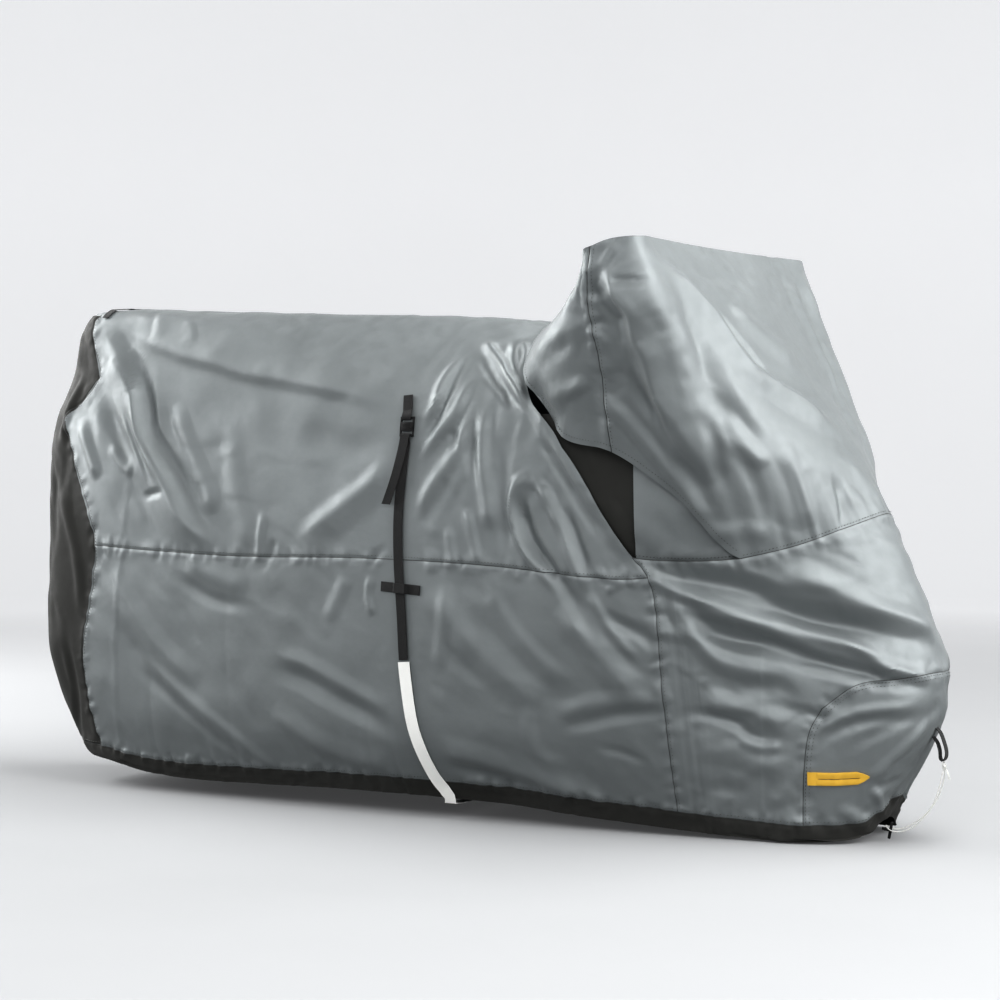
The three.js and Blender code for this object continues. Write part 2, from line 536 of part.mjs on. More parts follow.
// A block between four lines of places, by the rule of transfinite interpolation
function fourSided(top, bottom, left, right, placeAt) {
  const rows = left.length - 1;
  const columns = top.length - 1;
  return left.map((leftPlace, i) => top.map((topPlace, j) => {
    const [s, t] = [i / rows, j / columns];
    const mix = (axis) => (1 - s) * topPlace[axis] + s * bottom[j][axis]
      + (1 - t) * leftPlace[axis] + t * right[i][axis]
      - (1 - s) * ((1 - t) * top[0][axis] + t * top[columns][axis])
      - s * ((1 - t) * bottom[0][axis] + t * bottom[columns][axis]);
    return placeAt(mix(0), mix(1));
  }));
}

// Front panel, around the bow between the front seams, above and behind the wheel panel
function frontPanel() {
  const sheet = new Sheet();
  const left = [FRONT_SEAM[0], ...rowsAt(ticks(WAIST, BAND, BODY_LEVELS), () => FRONT_SEAM_STATION)];
  const right = [...wheelRise, ...wheelSide.slice(1)];
  const aboveWheel = ticks(WHEEL_STATION, BOW, BODY_COLUMNS).map((u) => [u, WAIST]);
  const bowRise = evenly(wheelCells.above)
    .map((t) => [BOW, WAIST + (wheelTop[wheelCells.across][1] - WAIST) * t]);
  for (const side of SIDES) {
    const placeAt = (u, v) => bodyPlace(u, v, side);
    sheet.block(fourSided(hoodSeam, frontFoot, left, right, placeAt));
    sheet.block(fourSided(aboveWheel, wheelTop, wheelRise, bowRise, placeAt));
  }
  return sheet.solid();
}

// Wheel panel, around the bow below the curved seam
function wheelPanel() {
  const sheet = new Sheet();
  const bow = evenly(wheelCells.below)
    .map((t) => [BOW, wheelTop[wheelCells.across][1] * (1 - t) + BAND * t]);
  for (const side of SIDES) {
    sheet.block(fourSided(wheelTop, bowFoot, wheelSide, bow, (u, v) => bodyPlace(u, v, side)));
  }
  return sheet.solid();
}

// Black band along the hem, all the way around
function hemBand() {
  const sheet = new Sheet();
  const rear = ticks(0, FRONT_SEAM_STATION, BODY_COLUMNS);
  const stations = [...rear, ...frontFoot.slice(1).map(([u]) => u), ...bowFoot.slice(1).map(([u]) => u)];
  for (const side of SIDES) {
    sheet.block([BAND, HEM].map((v) => stations.map((u) => bodyPlace(u, v, side))));
  }
  return sheet.solid();
}

// The panels below the hood's flap are set back behind the cloth around them, and further back at their foot
const sunk = (v) => -9 * smooth((v - 3.45) / 0.4);

// Black vent window
const VENT = { top: 2.55, foot: 3.93, lift: -9.5, behind: 0.06, rows: 6, columns: 4 };
const VENT_EDGE = [[8.2, 2.55], [8.13, 3], [8, 3.4], [7.86, 3.83]];

function ventWindow(side) {
  const levels = evenly(VENT.rows).map((t) => VENT.top + (VENT.foot - VENT.top) * t);
  const left = rowsAt(levels, (level) => seamStation(LIP, level) - VENT.behind);
  const right = rowsAt(levels, (level) => seamStation(VENT_EDGE, level) + VENT.behind);
  return new Sheet().block(between(left, right, evenly(VENT.columns),
    (u, v) => bodyPlace(u, v, side, VENT.lift + sunk(v)))).solid();
}

// Grey three-cornered panel between the vent window and the hood's flap
const CORNER_PANEL = { top: 2.75, foot: 4, lift: -4.5, rows: 6, columns: 3 };
const CORNER_EDGE = [[8.5, 2.75], [9, 3.5], [9.06, 4]];

function cornerPanel(side) {
  const { top, foot, rows } = CORNER_PANEL;
  const levels = evenly(rows).map((t) => top + (foot - top) * t);
  const left = rowsAt(levels, (level) => seamStation(VENT_EDGE, level));
  const right = rowsAt(levels, (level) => seamStation(CORNER_EDGE, level));
  return new Sheet().block(between(left, right, evenly(CORNER_PANEL.columns),
    (u, v) => bodyPlace(u, v, side, CORNER_PANEL.lift + sunk(v)))).solid();
}

// Rear of the hood, between its two upright seams
function hoodRear() {
  const sheet = new Sheet();
  const stations = ticks(0, HOOD_SEAM_STATION, HOOD_COLUMNS);
  const levels = ticks(RIDGE, HOOD_EDGE, HOOD_LEVELS);
  for (const side of SIDES) sheet.block(levels.map((v) => stations.map((u) => hoodPlace(u, v, side))));
  return sheet.solid();
}

// Front of the hood, with the flat top between the rear and front ridges
const TOP_CROWN = 7;

function hoodFront() {
  const sheet = new Sheet();
  const stations = ticks(HOOD_SEAM_STATION, HOOD_FRONT, HOOD_COLUMNS);
  const levels = ticks(RIDGE, HOOD_EDGE, HOOD_LEVELS);
  const rear = ticks(0, HOOD_REAR_CORNER, HOOD_COLUMNS);
  const front = ticks(HOOD_CORNER, HOOD_FRONT, HOOD_COLUMNS).reverse();
  const end = ticks(HOOD_REAR_CORNER, HOOD_CORNER, HOOD_COLUMNS);
  for (const side of SIDES) {
    const ridge = (u) => hoodPlace(u, RIDGE, side);
    sheet.block(levels.map((v) => stations.map((u) => hoodPlace(u, v, side))));
    const top = rear.slice(0, -1).map((u, k) => {
      const [back, fore] = [ridge(u), ridge(front[k])];
      const inner = evenly(end.length - 1).slice(1, -1).map((t) => {
        const point = back.point.clone().lerp(fore.point, t);
        return { point: point.addScaledVector(UP, TOP_CROWN * Math.sin(Math.PI * t)), normal: UP };
      });
      return [back, ...inner, fore];
    });
    sheet.block([...top, end.map(ridge)]);
  }
  return sheet.solid();
}

// A line drawn on the draped body, measured in millimetres from its start
class ClothLine {
  constructor(knots, side) {
    this.side = side;
    this.places = pathPlaces(knots, 160);
    const points = this.places.map(([u, v]) => bodyPlace(u, v, side).point);
    this.reach = [0];
    for (let k = 1; k < points.length; k += 1) {
      this.reach.push(this.reach[k - 1] + points[k].distanceTo(points[k - 1]));
    }
    this.length = this.reach[points.length - 1];
  }

  // Centre, outward normal, and directions along and across the line
  at(distance, lift) {
    const last = this.places.length - 2;
    let k = 0;
    while (k < last && this.reach[k + 1] < distance) k += 1;
    const t = (distance - this.reach[k]) / (this.reach[k + 1] - this.reach[k]);
    const [u0, v0] = this.places[k];
    const [u1, v1] = this.places[k + 1];
    const { point, normal } = bodyPlace(u0 + (u1 - u0) * t, v0 + (v1 - v0) * t, this.side, lift);
    const along = bodyPlace(u1, v1, this.side).point.sub(bodyPlace(u0, v0, this.side).point).normalize();
    return { point, normal, along, across: normal.clone().cross(along).normalize() };
  }
}

// A flat strap through a row of centres, each with its direction across
function strap(centres, width, thick) {
  const rows = centres.map(({ point, across }, k) => {
    const before = centres[Math.max(k - 1, 0)].point;
    const after = centres[Math.min(k + 1, centres.length - 1)].point;
    const normal = after.clone().sub(before).cross(across).normalize();
    return [-0.5, 0, 0.5].map((t) => ({ point: point.clone().addScaledVector(across, t * width), normal }));
  });
  return new Sheet(thick).block(rows).solid();
}

const beltLine = new ClothLine(BELT_LINE, RIGHT);
const buckleEnd = BUCKLE.length / 2;

// Rows of a webbing end that goes over a bar of the buckle and down into the slot behind it
function overBar(direction, rise) {
  const top = BAR_TOP + 1.7 + WEBBING;
  const slotEdge = buckleEnd - BUCKLE.bar;
  const rows = [[buckleEnd + rise, BELT_LIFT], [buckleEnd + 3.5, top], [buckleEnd - BUCKLE.bar / 2, top + 0.3],
    [slotEdge - 1.6, top - 0.8], [slotEdge - 3, top - 3.4]];
  return rows.map(([from, lift]) => [BUCKLE.along + direction * from, lift]);
}

function beltTab() {
  const rows = [[0, BELT_LIFT + 1], [18, BELT_LIFT], ...overBar(-1, BELT_TAB.rise)];
  return strap(rows.map(([distance, lift]) => beltLine.at(distance, lift)), BELT_TAB.width, WEBBING);
}

function beltStrap() {
  const start = BUCKLE.along + buckleEnd + BELT_TAB.rise;
  const rows = overBar(1, BELT_TAB.rise).reverse();
  evenly(BELT_STRAP.rows).slice(1).forEach((t) => rows.push([start + (BELT_STRAP.to - start) * t, BELT_LIFT]));
  return strap(rows.map(([distance, lift]) => beltLine.at(distance, lift)), BELT_STRAP.width, WEBBING);
}

// The free end of the strap hangs from the buckle, beside and over the strap
function looseEnd() {
  const start = BUCKLE.along + buckleEnd + 1;
  const centres = evenly(LOOSE_END.rows).map((t) => {
    const lift = BAR_TOP + 2 * WEBBING + 2.6 + 3 * Math.sin(Math.PI * t);
    const row = beltLine.at(start + LOOSE_END.length * t, lift);
    row.point.addScaledVector(row.across, LOOSE_END.drift * t * t);
    return row;
  });
  return strap(centres, LOOSE_END.width, WEBBING);
}

// Buckle: a plastic frame with a slot at each end, moulded in one piece
function buckle() {
  const { point, normal, along, across } = beltLine.at(BUCKLE.along, BUCKLE.lift + BUCKLE.thick);
  const [half, rib] = [BUCKLE.width / 2, BUCKLE.width / 2 - 3.5];
  const [bar, slot] = [buckleEnd - BUCKLE.bar, buckleEnd - BUCKLE.bar - BUCKLE.slot];
  const corner = (x, y) => {
    const at = point.clone().addScaledVector(along, x).addScaledVector(across, y);
    return { point: at, normal };
  };
  const rows = [-buckleEnd, -bar, -slot, slot, bar, buckleEnd]
    .map((x) => [-half, -rib, rib, half].map((y) => corner(x, y)));
  const sheet = new Sheet(BUCKLE.thick);
  sheet.block(rows.map((row) => row.slice(0, 2)));
  sheet.block(rows.map((row) => row.slice(2, 4)));
  for (const k of [0, 2, 4]) sheet.block(rows.slice(k, k + 2).map((row) => row.slice(1, 3)));
  return sheet.solid();
}

// White sleeve over the belt's lower part: down the cloth, under the hem and up to the left hem band
function beltSleeve() {
  const line = beltLine;
  const back = new ClothLine(BELT_SLEEVE.returnLine, LEFT);
  const down = evenly(BELT_SLEEVE.rows)
    .map((t) => line.at(BELT_SLEEVE.from + (line.length - BELT_SLEEVE.from) * t, BELT_LIFT));
  const up = evenly(3).map((t) => back.at(back.length * t, BELT_LIFT));
  const forward = new THREE.Vector3(1, 0, 0);
  const right = down[down.length - 1].point;
  const left = up[0].point;
  const under = [0, 0.33, 0.67, 1].map((t) => {
    const point = right.clone().lerp(left, t);
    point.y = (left.y - BELT_SLEEVE.inset) * (2 * t - 1);
    point.z = BELT_SLEEVE.under;
    return { point, across: forward };
  });
  const corner = (end, toward) => ({
    point: new THREE.Vector3(end.x, end.y + toward * 3, BELT_SLEEVE.under + 3), across: forward });
  return strap([...down, corner(right, 1), ...under, corner(left, -1), ...up], BELT_SLEEVE.width, WEBBING);
}

// Keeper tab sewn across the belt at the waist seam
function keeper() {
  const line = new ClothLine(KEEPER.line, RIGHT);
  const middle = line.length / 2;
  const over = BELT_LIFT + WEBBING + 1.6;
  const rows = [[0, 2.8], [middle - KEEPER.clear, 3.2], [middle - KEEPER.clear + 3.5, over],
    [middle + KEEPER.clear - 3.5, over], [middle + KEEPER.clear, 3.2], [line.length, 2.8]];
  return strap(rows.map(([distance, lift]) => line.at(distance, lift)), KEEPER.width, WEBBING);
}

// Yellow welt with its open slit; its front end is cut to a point
function lockWelt(side) {
  const line = new ClothLine(WELT.line, side);
  const sheet = new Sheet(WELT.thick);
  const rows = WELT_ROWS.map(([t, share]) => {
    const { point, normal, across } = line.at(line.length * t, WELT.lift);
    const inner = Math.min(WELT.slit / 2, 0.2 * WELT.width * share);
    return [-0.5 * WELT.width * share, -inner, inner, 0.5 * WELT.width * share]
      .map((offset) => ({ point: point.clone().addScaledVector(across, offset), normal }));
  });
  sheet.block(rows.map((row) => row.slice(0, 2)));
  sheet.block(rows.map((row) => row.slice(2, 4)));
  sheet.block(rows.slice(0, 2).map((row) => row.slice(1, 3)));
  sheet.block(rows.slice(-3).map((row) => row.slice(1, 3)));
  return sheet.solid();
}

function tailTab() {
  const row = (t, side) => {
    const line = new ClothLine(TAIL_TAB.line, side);
    return line.at(line.length * t, TAIL_TAB.lift);
  };
  const right = evenly(TAIL_TAB.rows).map((t) => row(t, RIGHT));
  const left = evenly(TAIL_TAB.rows).map((t) => row(t, LEFT)).reverse();
  left.forEach((centre) => centre.across.negate());
  const middle = right.pop();
  middle.across.set(-1, 0, 0);
  return strap([...right, middle, ...left.slice(1)], TAIL_TAB.width, WEBBING);
}

function frontLoop() {
  const sideways = new THREE.Vector3(0, 1, 0);
  const centres = LOOP.bight.map(([x, z]) => ({ point: new THREE.Vector3(x, 0, z), across: sideways }));
  return strap(centres, LOOP.width, WEBBING);
}

const vectors = (points) => points.map((point) => new THREE.Vector3(...point));

function cord() {
  const circle = new THREE.Shape(evenly(CORD.sides).slice(1).map((t) => new THREE.Vector2(
    CORD.diameter / 2 * Math.cos(2 * Math.PI * t), CORD.diameter / 2 * Math.sin(2 * Math.PI * t))));
  const extrudePath = new THREE.CatmullRomCurve3(vectors(CORD_ROUTE), false, "centripetal");
  return new THREE.ExtrudeGeometry(circle, { steps: CORD.steps, extrudePath });
}

// The knot under the loop, with the frayed free end of the cord
function cordKnot() {
  const sides = 10;
  const curve = new THREE.CatmullRomCurve3(vectors(KNOT_ROUTE));
  const frames = curve.computeFrenetFrames(KNOT_ROUTE.length - 1);
  const centres = curve.getPoints(KNOT_ROUTE.length - 1);
  const positions = [];
  const faces = [];
  centres.forEach((centre, k) => evenly(sides).slice(1).forEach((t) => {
    const angle = 2 * Math.PI * t;
    const arm = frames.normals[k].clone().multiplyScalar(Math.cos(angle))
      .addScaledVector(frames.binormals[k], Math.sin(angle));
    positions.push(...centre.clone().addScaledVector(arm, KNOT_RADII[k]).toArray());
  }));
  const tips = positions.length / 3;
  positions.push(...centres[0].toArray(), ...centres[centres.length - 1].toArray());
  for (let j = 0; j < sides; j += 1) {
    const next = (j + 1) % sides;
    for (let k = 0; k + 1 < centres.length; k += 1) {
      const [a, b, c, d] = [k * sides + j, k * sides + next, (k + 1) * sides + next, (k + 1) * sides + j];
      faces.push(a, b, c, a, c, d);
    }
    faces.push(tips, next, j, tips + 1, tips - sides + j, tips - sides + next);
  }
  const geometry = new THREE.BufferGeometry();
  geometry.setAttribute("position", new THREE.Float32BufferAttribute(positions, 3));
  geometry.setIndex(faces);
  return geometry;
}

// Toggle: a flat T, its stem to the rear, its crossbar leaning with the hem
function toggle() {
  const { bar, stem, wide, thick } = TOGGLE;
  const corners = [[0, -bar / 2], [0, bar / 2], [-wide, bar / 2], [-wide, wide / 2], [-wide - stem, wide / 2],
    [-wide - stem, -wide / 2], [-wide, -wide / 2], [-wide, -bar / 2]];
  const geometry = new THREE.ExtrudeGeometry(new THREE.Shape(corners.map(([x, y]) => new THREE.Vector2(x, y))),
    { depth: thick, bevelEnabled: false });
  geometry.rotateX(Math.PI / 2);
  geometry.rotateY(TOGGLE.lean);
  geometry.rotateZ(TOGGLE.turn);
  return geometry.translate(TOGGLE.x, TOGGLE.y, TOGGLE.height);
}

place("upper_body", upperBody(), GREY_CLOTH);
place("rear_panel", rearPanel(), BLACK_CLOTH);
place("front_panel", frontPanel(), GREY_CLOTH);
place("wheel_panel", wheelPanel(), GREY_CLOTH);
place("hem_band", hemBand(), BLACK_CLOTH);
place("hood_rear", hoodRear(), GREY_CLOTH);
place("hood_front", hoodFront(), GREY_CLOTH);
for (const [side, hand] of [[RIGHT, "right"], [LEFT, "left"]]) {
  place(`lower_panel_${hand}`, lowerPanel(side), GREY_CLOTH);
  place(`vent_window_${hand}`, ventWindow(side), BLACK_CLOTH);
  place(`corner_panel_${hand}`, cornerPanel(side), GREY_CLOTH);
  place(`lock_welt_${hand}`, lockWelt(side), YELLOW_CLOTH);
}
place("belt_tab", beltTab(), BLACK_WEBBING);
place("belt_buckle", buckle(), BLACK_PLASTIC);
place("belt_strap", beltStrap(), BLACK_WEBBING);
place("belt_loose_end", looseEnd(), BLACK_WEBBING);
place("belt_keeper", keeper(), BLACK_WEBBING);
place("belt_sleeve", beltSleeve(), WHITE_WEBBING);
place("tail_tab", tailTab(), BLACK_WEBBING);
place("front_loop", frontLoop(), BLACK_WEBBING);
place("cord", cord(), WHITE_CORD);
place("cord_knot", cordKnot(), WHITE_CORD);
place("toggle", toggle(), BLACK_PLASTIC);

export default group;
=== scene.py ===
import logging
import math
from collections.abc import Callable, Sequence
from dataclasses import dataclass
from enum import Enum

import bpy
import numpy as np
from mathutils import Matrix, Vector


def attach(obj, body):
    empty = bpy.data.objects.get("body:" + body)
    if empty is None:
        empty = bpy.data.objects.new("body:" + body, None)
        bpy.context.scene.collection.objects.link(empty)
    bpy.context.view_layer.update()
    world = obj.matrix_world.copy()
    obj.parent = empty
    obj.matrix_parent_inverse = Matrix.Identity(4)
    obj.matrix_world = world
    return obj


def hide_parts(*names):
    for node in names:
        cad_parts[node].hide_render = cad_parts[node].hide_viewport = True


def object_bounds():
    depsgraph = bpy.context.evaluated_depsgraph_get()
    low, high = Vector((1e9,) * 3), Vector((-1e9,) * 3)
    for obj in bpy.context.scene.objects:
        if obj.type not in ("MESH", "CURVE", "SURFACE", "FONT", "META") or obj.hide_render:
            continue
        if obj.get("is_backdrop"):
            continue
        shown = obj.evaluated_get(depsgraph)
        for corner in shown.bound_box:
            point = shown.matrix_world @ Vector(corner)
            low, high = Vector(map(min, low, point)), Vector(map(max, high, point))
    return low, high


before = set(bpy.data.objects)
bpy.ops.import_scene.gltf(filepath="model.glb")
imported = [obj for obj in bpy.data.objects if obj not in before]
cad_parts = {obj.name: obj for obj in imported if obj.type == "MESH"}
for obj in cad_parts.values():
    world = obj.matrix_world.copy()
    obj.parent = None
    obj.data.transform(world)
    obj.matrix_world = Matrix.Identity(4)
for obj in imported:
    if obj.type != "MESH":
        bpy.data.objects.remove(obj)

LOG = logging.getLogger("cover")
Array = np.ndarray
Piece = bpy.types.Object
Socket = bpy.types.NodeSocket
Place = tuple[float, float]
Knots = Sequence[Place]
Draped = tuple[Array, Array, Array]
Colour = tuple[float, float, float]

# Places are drawn in millimetres above the floor. Below: height of the frame's origin over the floor, thickness
# of the webbing, and length of the cells of the cloth
ORIGIN_HEIGHT = 1100.0
WEBBING = 1.6
CELL = 5.5
COARSE = CELL > 8
UP = np.array([0.0, 0.0, 1.0])

# Body stations, stern to bow: crown, rim, shoulder, flank, waist, lower, band and hem as x, half width, height
BODY_ROWS = [
    [(-900, 0, 1145), (-1085, 0, 1133), (-1155, 0, 975), (-1214, 0, 800),
     (-1222, 0, 575), (-1224, 0, 315), (-1150, 0, 110), (-1130, 0, 75)],
    [(-880, 0, 1145), (-1070, 120, 1137), (-1135, 145, 975), (-1186, 165, 800),
     (-1184, 178, 580), (-1186, 174, 315), (-1108, 145, 105), (-1090, 138, 71)],
    [(-840, 0, 1145), (-1015, 180, 1136), (-1015, 205, 975), (-1030, 225, 795),
     (-1005, 235, 583), (-1040, 230, 315), (-1000, 208, 97), (-975, 203, 63)],
    [(-760, 0, 1139), (-820, 165, 1137), (-820, 215, 1075), (-830, 240, 815),
     (-830, 255, 575), (-830, 250, 305), (-810, 230, 75), (-805, 224, 37)],
    [(-520, 0, 1127), (-530, 150, 1121), (-520, 235, 1025), (-520, 260, 815),
     (-520, 275, 567), (-520, 275, 305), (-515, 248, 75), (-515, 240, 35)],
    [(-200, 0, 1111), (-200, 130, 1105), (-190, 250, 960), (-190, 280, 795),
     (-190, 292, 571), (-190, 288, 305), (-190, 258, 81), (-190, 250, 41)],
    [(80, 0, 1097), (80, 110, 1091), (100, 245, 955), (110, 285, 795),
     (130, 296, 563), (120, 288, 305), (120, 252, 77), (120, 244, 37)],
    [(190, 0, 1081), (200, 110, 1071), (225, 255, 950), (310, 290, 815),
     (370, 295, 545), (350, 282, 305), (340, 240, 65), (340, 232, 25)],
    [(330, 0, 1085), (360, 170, 1055), (400, 270, 945), (470, 290, 795),
     (528, 286, 545), (550, 262, 305), (560, 215, 52), (560, 208, 12)],
    [(550, 0, 1075), (560, 180, 1015), (600, 250, 915), (650, 250, 775),
     (716, 235, 587), (715, 218, 305), (715, 190, 43), (715, 184, 5)],
    [(660, 0, 1055), (680, 120, 975), (720, 190, 865), (770, 190, 755),
     (818, 180, 615), (850, 178, 305), (830, 168, 39), (830, 162, 3)],
    [(740, 0, 995), (780, 60, 915), (820, 100, 815), (860, 110, 735),
     (900, 100, 653), (1010, 120, 315), (925, 100, 47), (918, 96, 13)],
    [(800, 0, 955), (830, 0, 885), (860, 0, 815), (895, 0, 755),
     (940, 0, 677), (1066, 0, 335), (972, 0, 95), (945, 0, 45)],
]
CROWN, RIM, WAIST, BAND, HEM = 0, 1, 4, 6, 7
TAIL_STATION, FRONT_STATION, FORK_STATION, WHEEL_STATION, BOW = 2, 8, 9, 10, 12

# Hood stations, rear centre to front centre: ridge, upper, middle, low and edge
HOOD_ROWS = [
    [(470, 0, 1231), (385, 0, 1168), (310, 0, 1126), (245, 0, 1104), (185, 0, 1095)],
    [(465, 230, 1229), (395, 210, 1168), (325, 180, 1124), (260, 145, 1100), (195, 105, 1091)],
    [(444, 412, 1216), (428, 405, 1155), (375, 378, 1090), (300, 338, 1030), (226, 282, 964)],
    [(452, 416, 1220), (438, 404, 1135), (420, 388, 1050), (385, 355, 945), (330, 300, 838)],
    [(463, 415, 1223), (450, 400, 1115), (460, 380, 1015), (459, 348, 912), (459, 315, 805)],
    [(508, 413, 1237), (515, 397, 1123), (528, 372, 1005), (552, 332, 875), (600, 280, 705)],
    [(562, 405, 1241), (590, 398, 1130), (620, 360, 1005), (665, 305, 830), (716, 235, 587)],
    [(557, 300, 1243), (628, 295, 1115), (705, 272, 965), (780, 228, 795), (818, 180, 615)],
    [(556, 160, 1241), (655, 160, 1100), (755, 150, 935), (845, 125, 785), (900, 100, 653)],
    [(558, 0, 1240), (670, 0, 1093), (785, 0, 920), (875, 0, 790), (940, 0, 677)],
]
RIDGE, HOOD_EDGE, HOOD_REAR_CORNER, HOOD_SEAM_STATION, HOOD_CORNER = 0, 4, 2, 4, 6

# Slopes of the lofts are taken over this much of a station or level, and this many points are worked at a time
STEP = 0.02
CHUNK = 12000

# Seam lines as station and level
TAIL_SEAM = [(2, 1), (2.05, 1.5), (2.1, 2), (1.45, 2.5), (1.75, 3), (2.1, 4), (2.03, 5.2), (2, 6)]
LIP = [(7.25, 0), (7.25, 1), (7.1, 1.7), (6.97, 2), (6.98, 2.4), (7.12, 3), (7.5, 3.5), (7.84, 3.83)]
FRONT_SEAM = [(7.84, 3.83), (8, 4), (8, 5), (8, 6)]
HOOD_SEAM = [(7.84, 3.83), (8.2, 3.88), (8.73, 3.97), (9, 4)]
WHEEL_CORNER = (10.12, 5.08)
WHEEL_SEAM_SIDE = [WHEEL_CORNER, (9.96, 5.25), (9.92, 5.5), (9.97, 6)]
WHEEL_SEAM_TOP = [WHEEL_CORNER, (10.5, 4.93), (11, 4.91), (12, 4.94)]
WAIST_SEAM = [(2.1, 4), *((k, 4) for k in range(3, 9))]
BOW_SEAM = [(10, 4), (11, 4), (12, 4)]
HEM_SEAM = [(k, 6) for k in range(13)]
HOOD_UPRIGHT_SEAM = [(4, k) for k in range(5)]
VENT_EDGE = [(8.2, 2.55), (8.13, 3), (8, 3.4), (7.86, 3.83)]
CORNER_EDGE = [(8.5, 2.75), (9, 3.5), (9.06, 4)]

BELT_LINE = [(5.36, 2.17), (5.38, 2.63), (5.36, 3.13), (5.33, 3.6), (5.33, 4), (5.36, 4.5), (5.38, 4.9),
             (5.43, 5.33), (5.48, 5.6), (5.53, 5.9), (5.59, 6.23), (5.62, 6.95)]


class Side(Enum):
    """The two sides of the cover, as the sign of Y."""

    RIGHT = -1
    LEFT = 1

    @property
    def hand(self) -> str:
        """The side's name as the nodes spell it."""
        return self.name.lower()


class Slot(Enum):
    """The record's material slots."""

    GREY_CLOTH = "grey_cloth"
    BLACK_CLOTH = "black_cloth"
    YELLOW_CLOTH = "yellow_cloth"
    BLACK_WEBBING = "black_webbing"
    WHITE_WEBBING = "white_webbing"
    WHITE_CORD = "white_cord"
    BLACK_PLASTIC = "black_plastic"


def smooth(value: Array | float) -> Array:
    """The smooth step from 0 to 1 of a value or an array."""
    x = np.clip(value, 0.0, 1.0)
    return x * x * (3 - 2 * x)


def unit(vectors: Array) -> Array:
    """Vectors of length one; a vector of no length becomes upright."""
    size = np.linalg.norm(vectors, axis=-1, keepdims=True)
    return np.where(size > 1e-6, vectors / np.maximum(size, 1e-6), UP)


def fair(a: Array, b: Array, c: Array, d: Array, t: Array, even: bool = False, least: float = 1.0) -> Array:
    """Faired curve through b and c.

    Args:
        a: Points before b.
        b: Points at the start.
        c: Points at the end.
        d: Points after c.
        t: Share of the way from b to c, with a last axis of one.
        even: Whether the knots are even, or spaced by the root of the chords.
        least: The shortest chord that counts.

    Returns:
        The points on the curve.
    """
    def gap(p: Array, q: Array) -> Array:
        """Knot spacing between two rows of points."""
        if even:
            return np.ones(p.shape[:-1] + (1,))
        return np.sqrt(np.maximum(np.linalg.norm(p - q, axis=-1, keepdims=True), least))

    before, here, after = gap(a, b), gap(b, c), gap(c, d)
    start = ((b - a) / before - (c - a) / (before + here) + (c - b) / here) * here
    end = ((c - b) / here - (d - b) / (here + after) + (d - c) / after) * here
    t2, t3 = t * t, t * t * t
    return b * (2 * t3 - 3 * t2 + 1) + start * (t3 - 2 * t2 + t) + c * (3 * t2 - 2 * t3) + end * (t3 - t2)


def distance_along(points: Array) -> Array:
    """Distance along a row of points."""
    return np.concatenate([[0.0], np.cumsum(np.linalg.norm(np.diff(points, axis=0), axis=-1))])


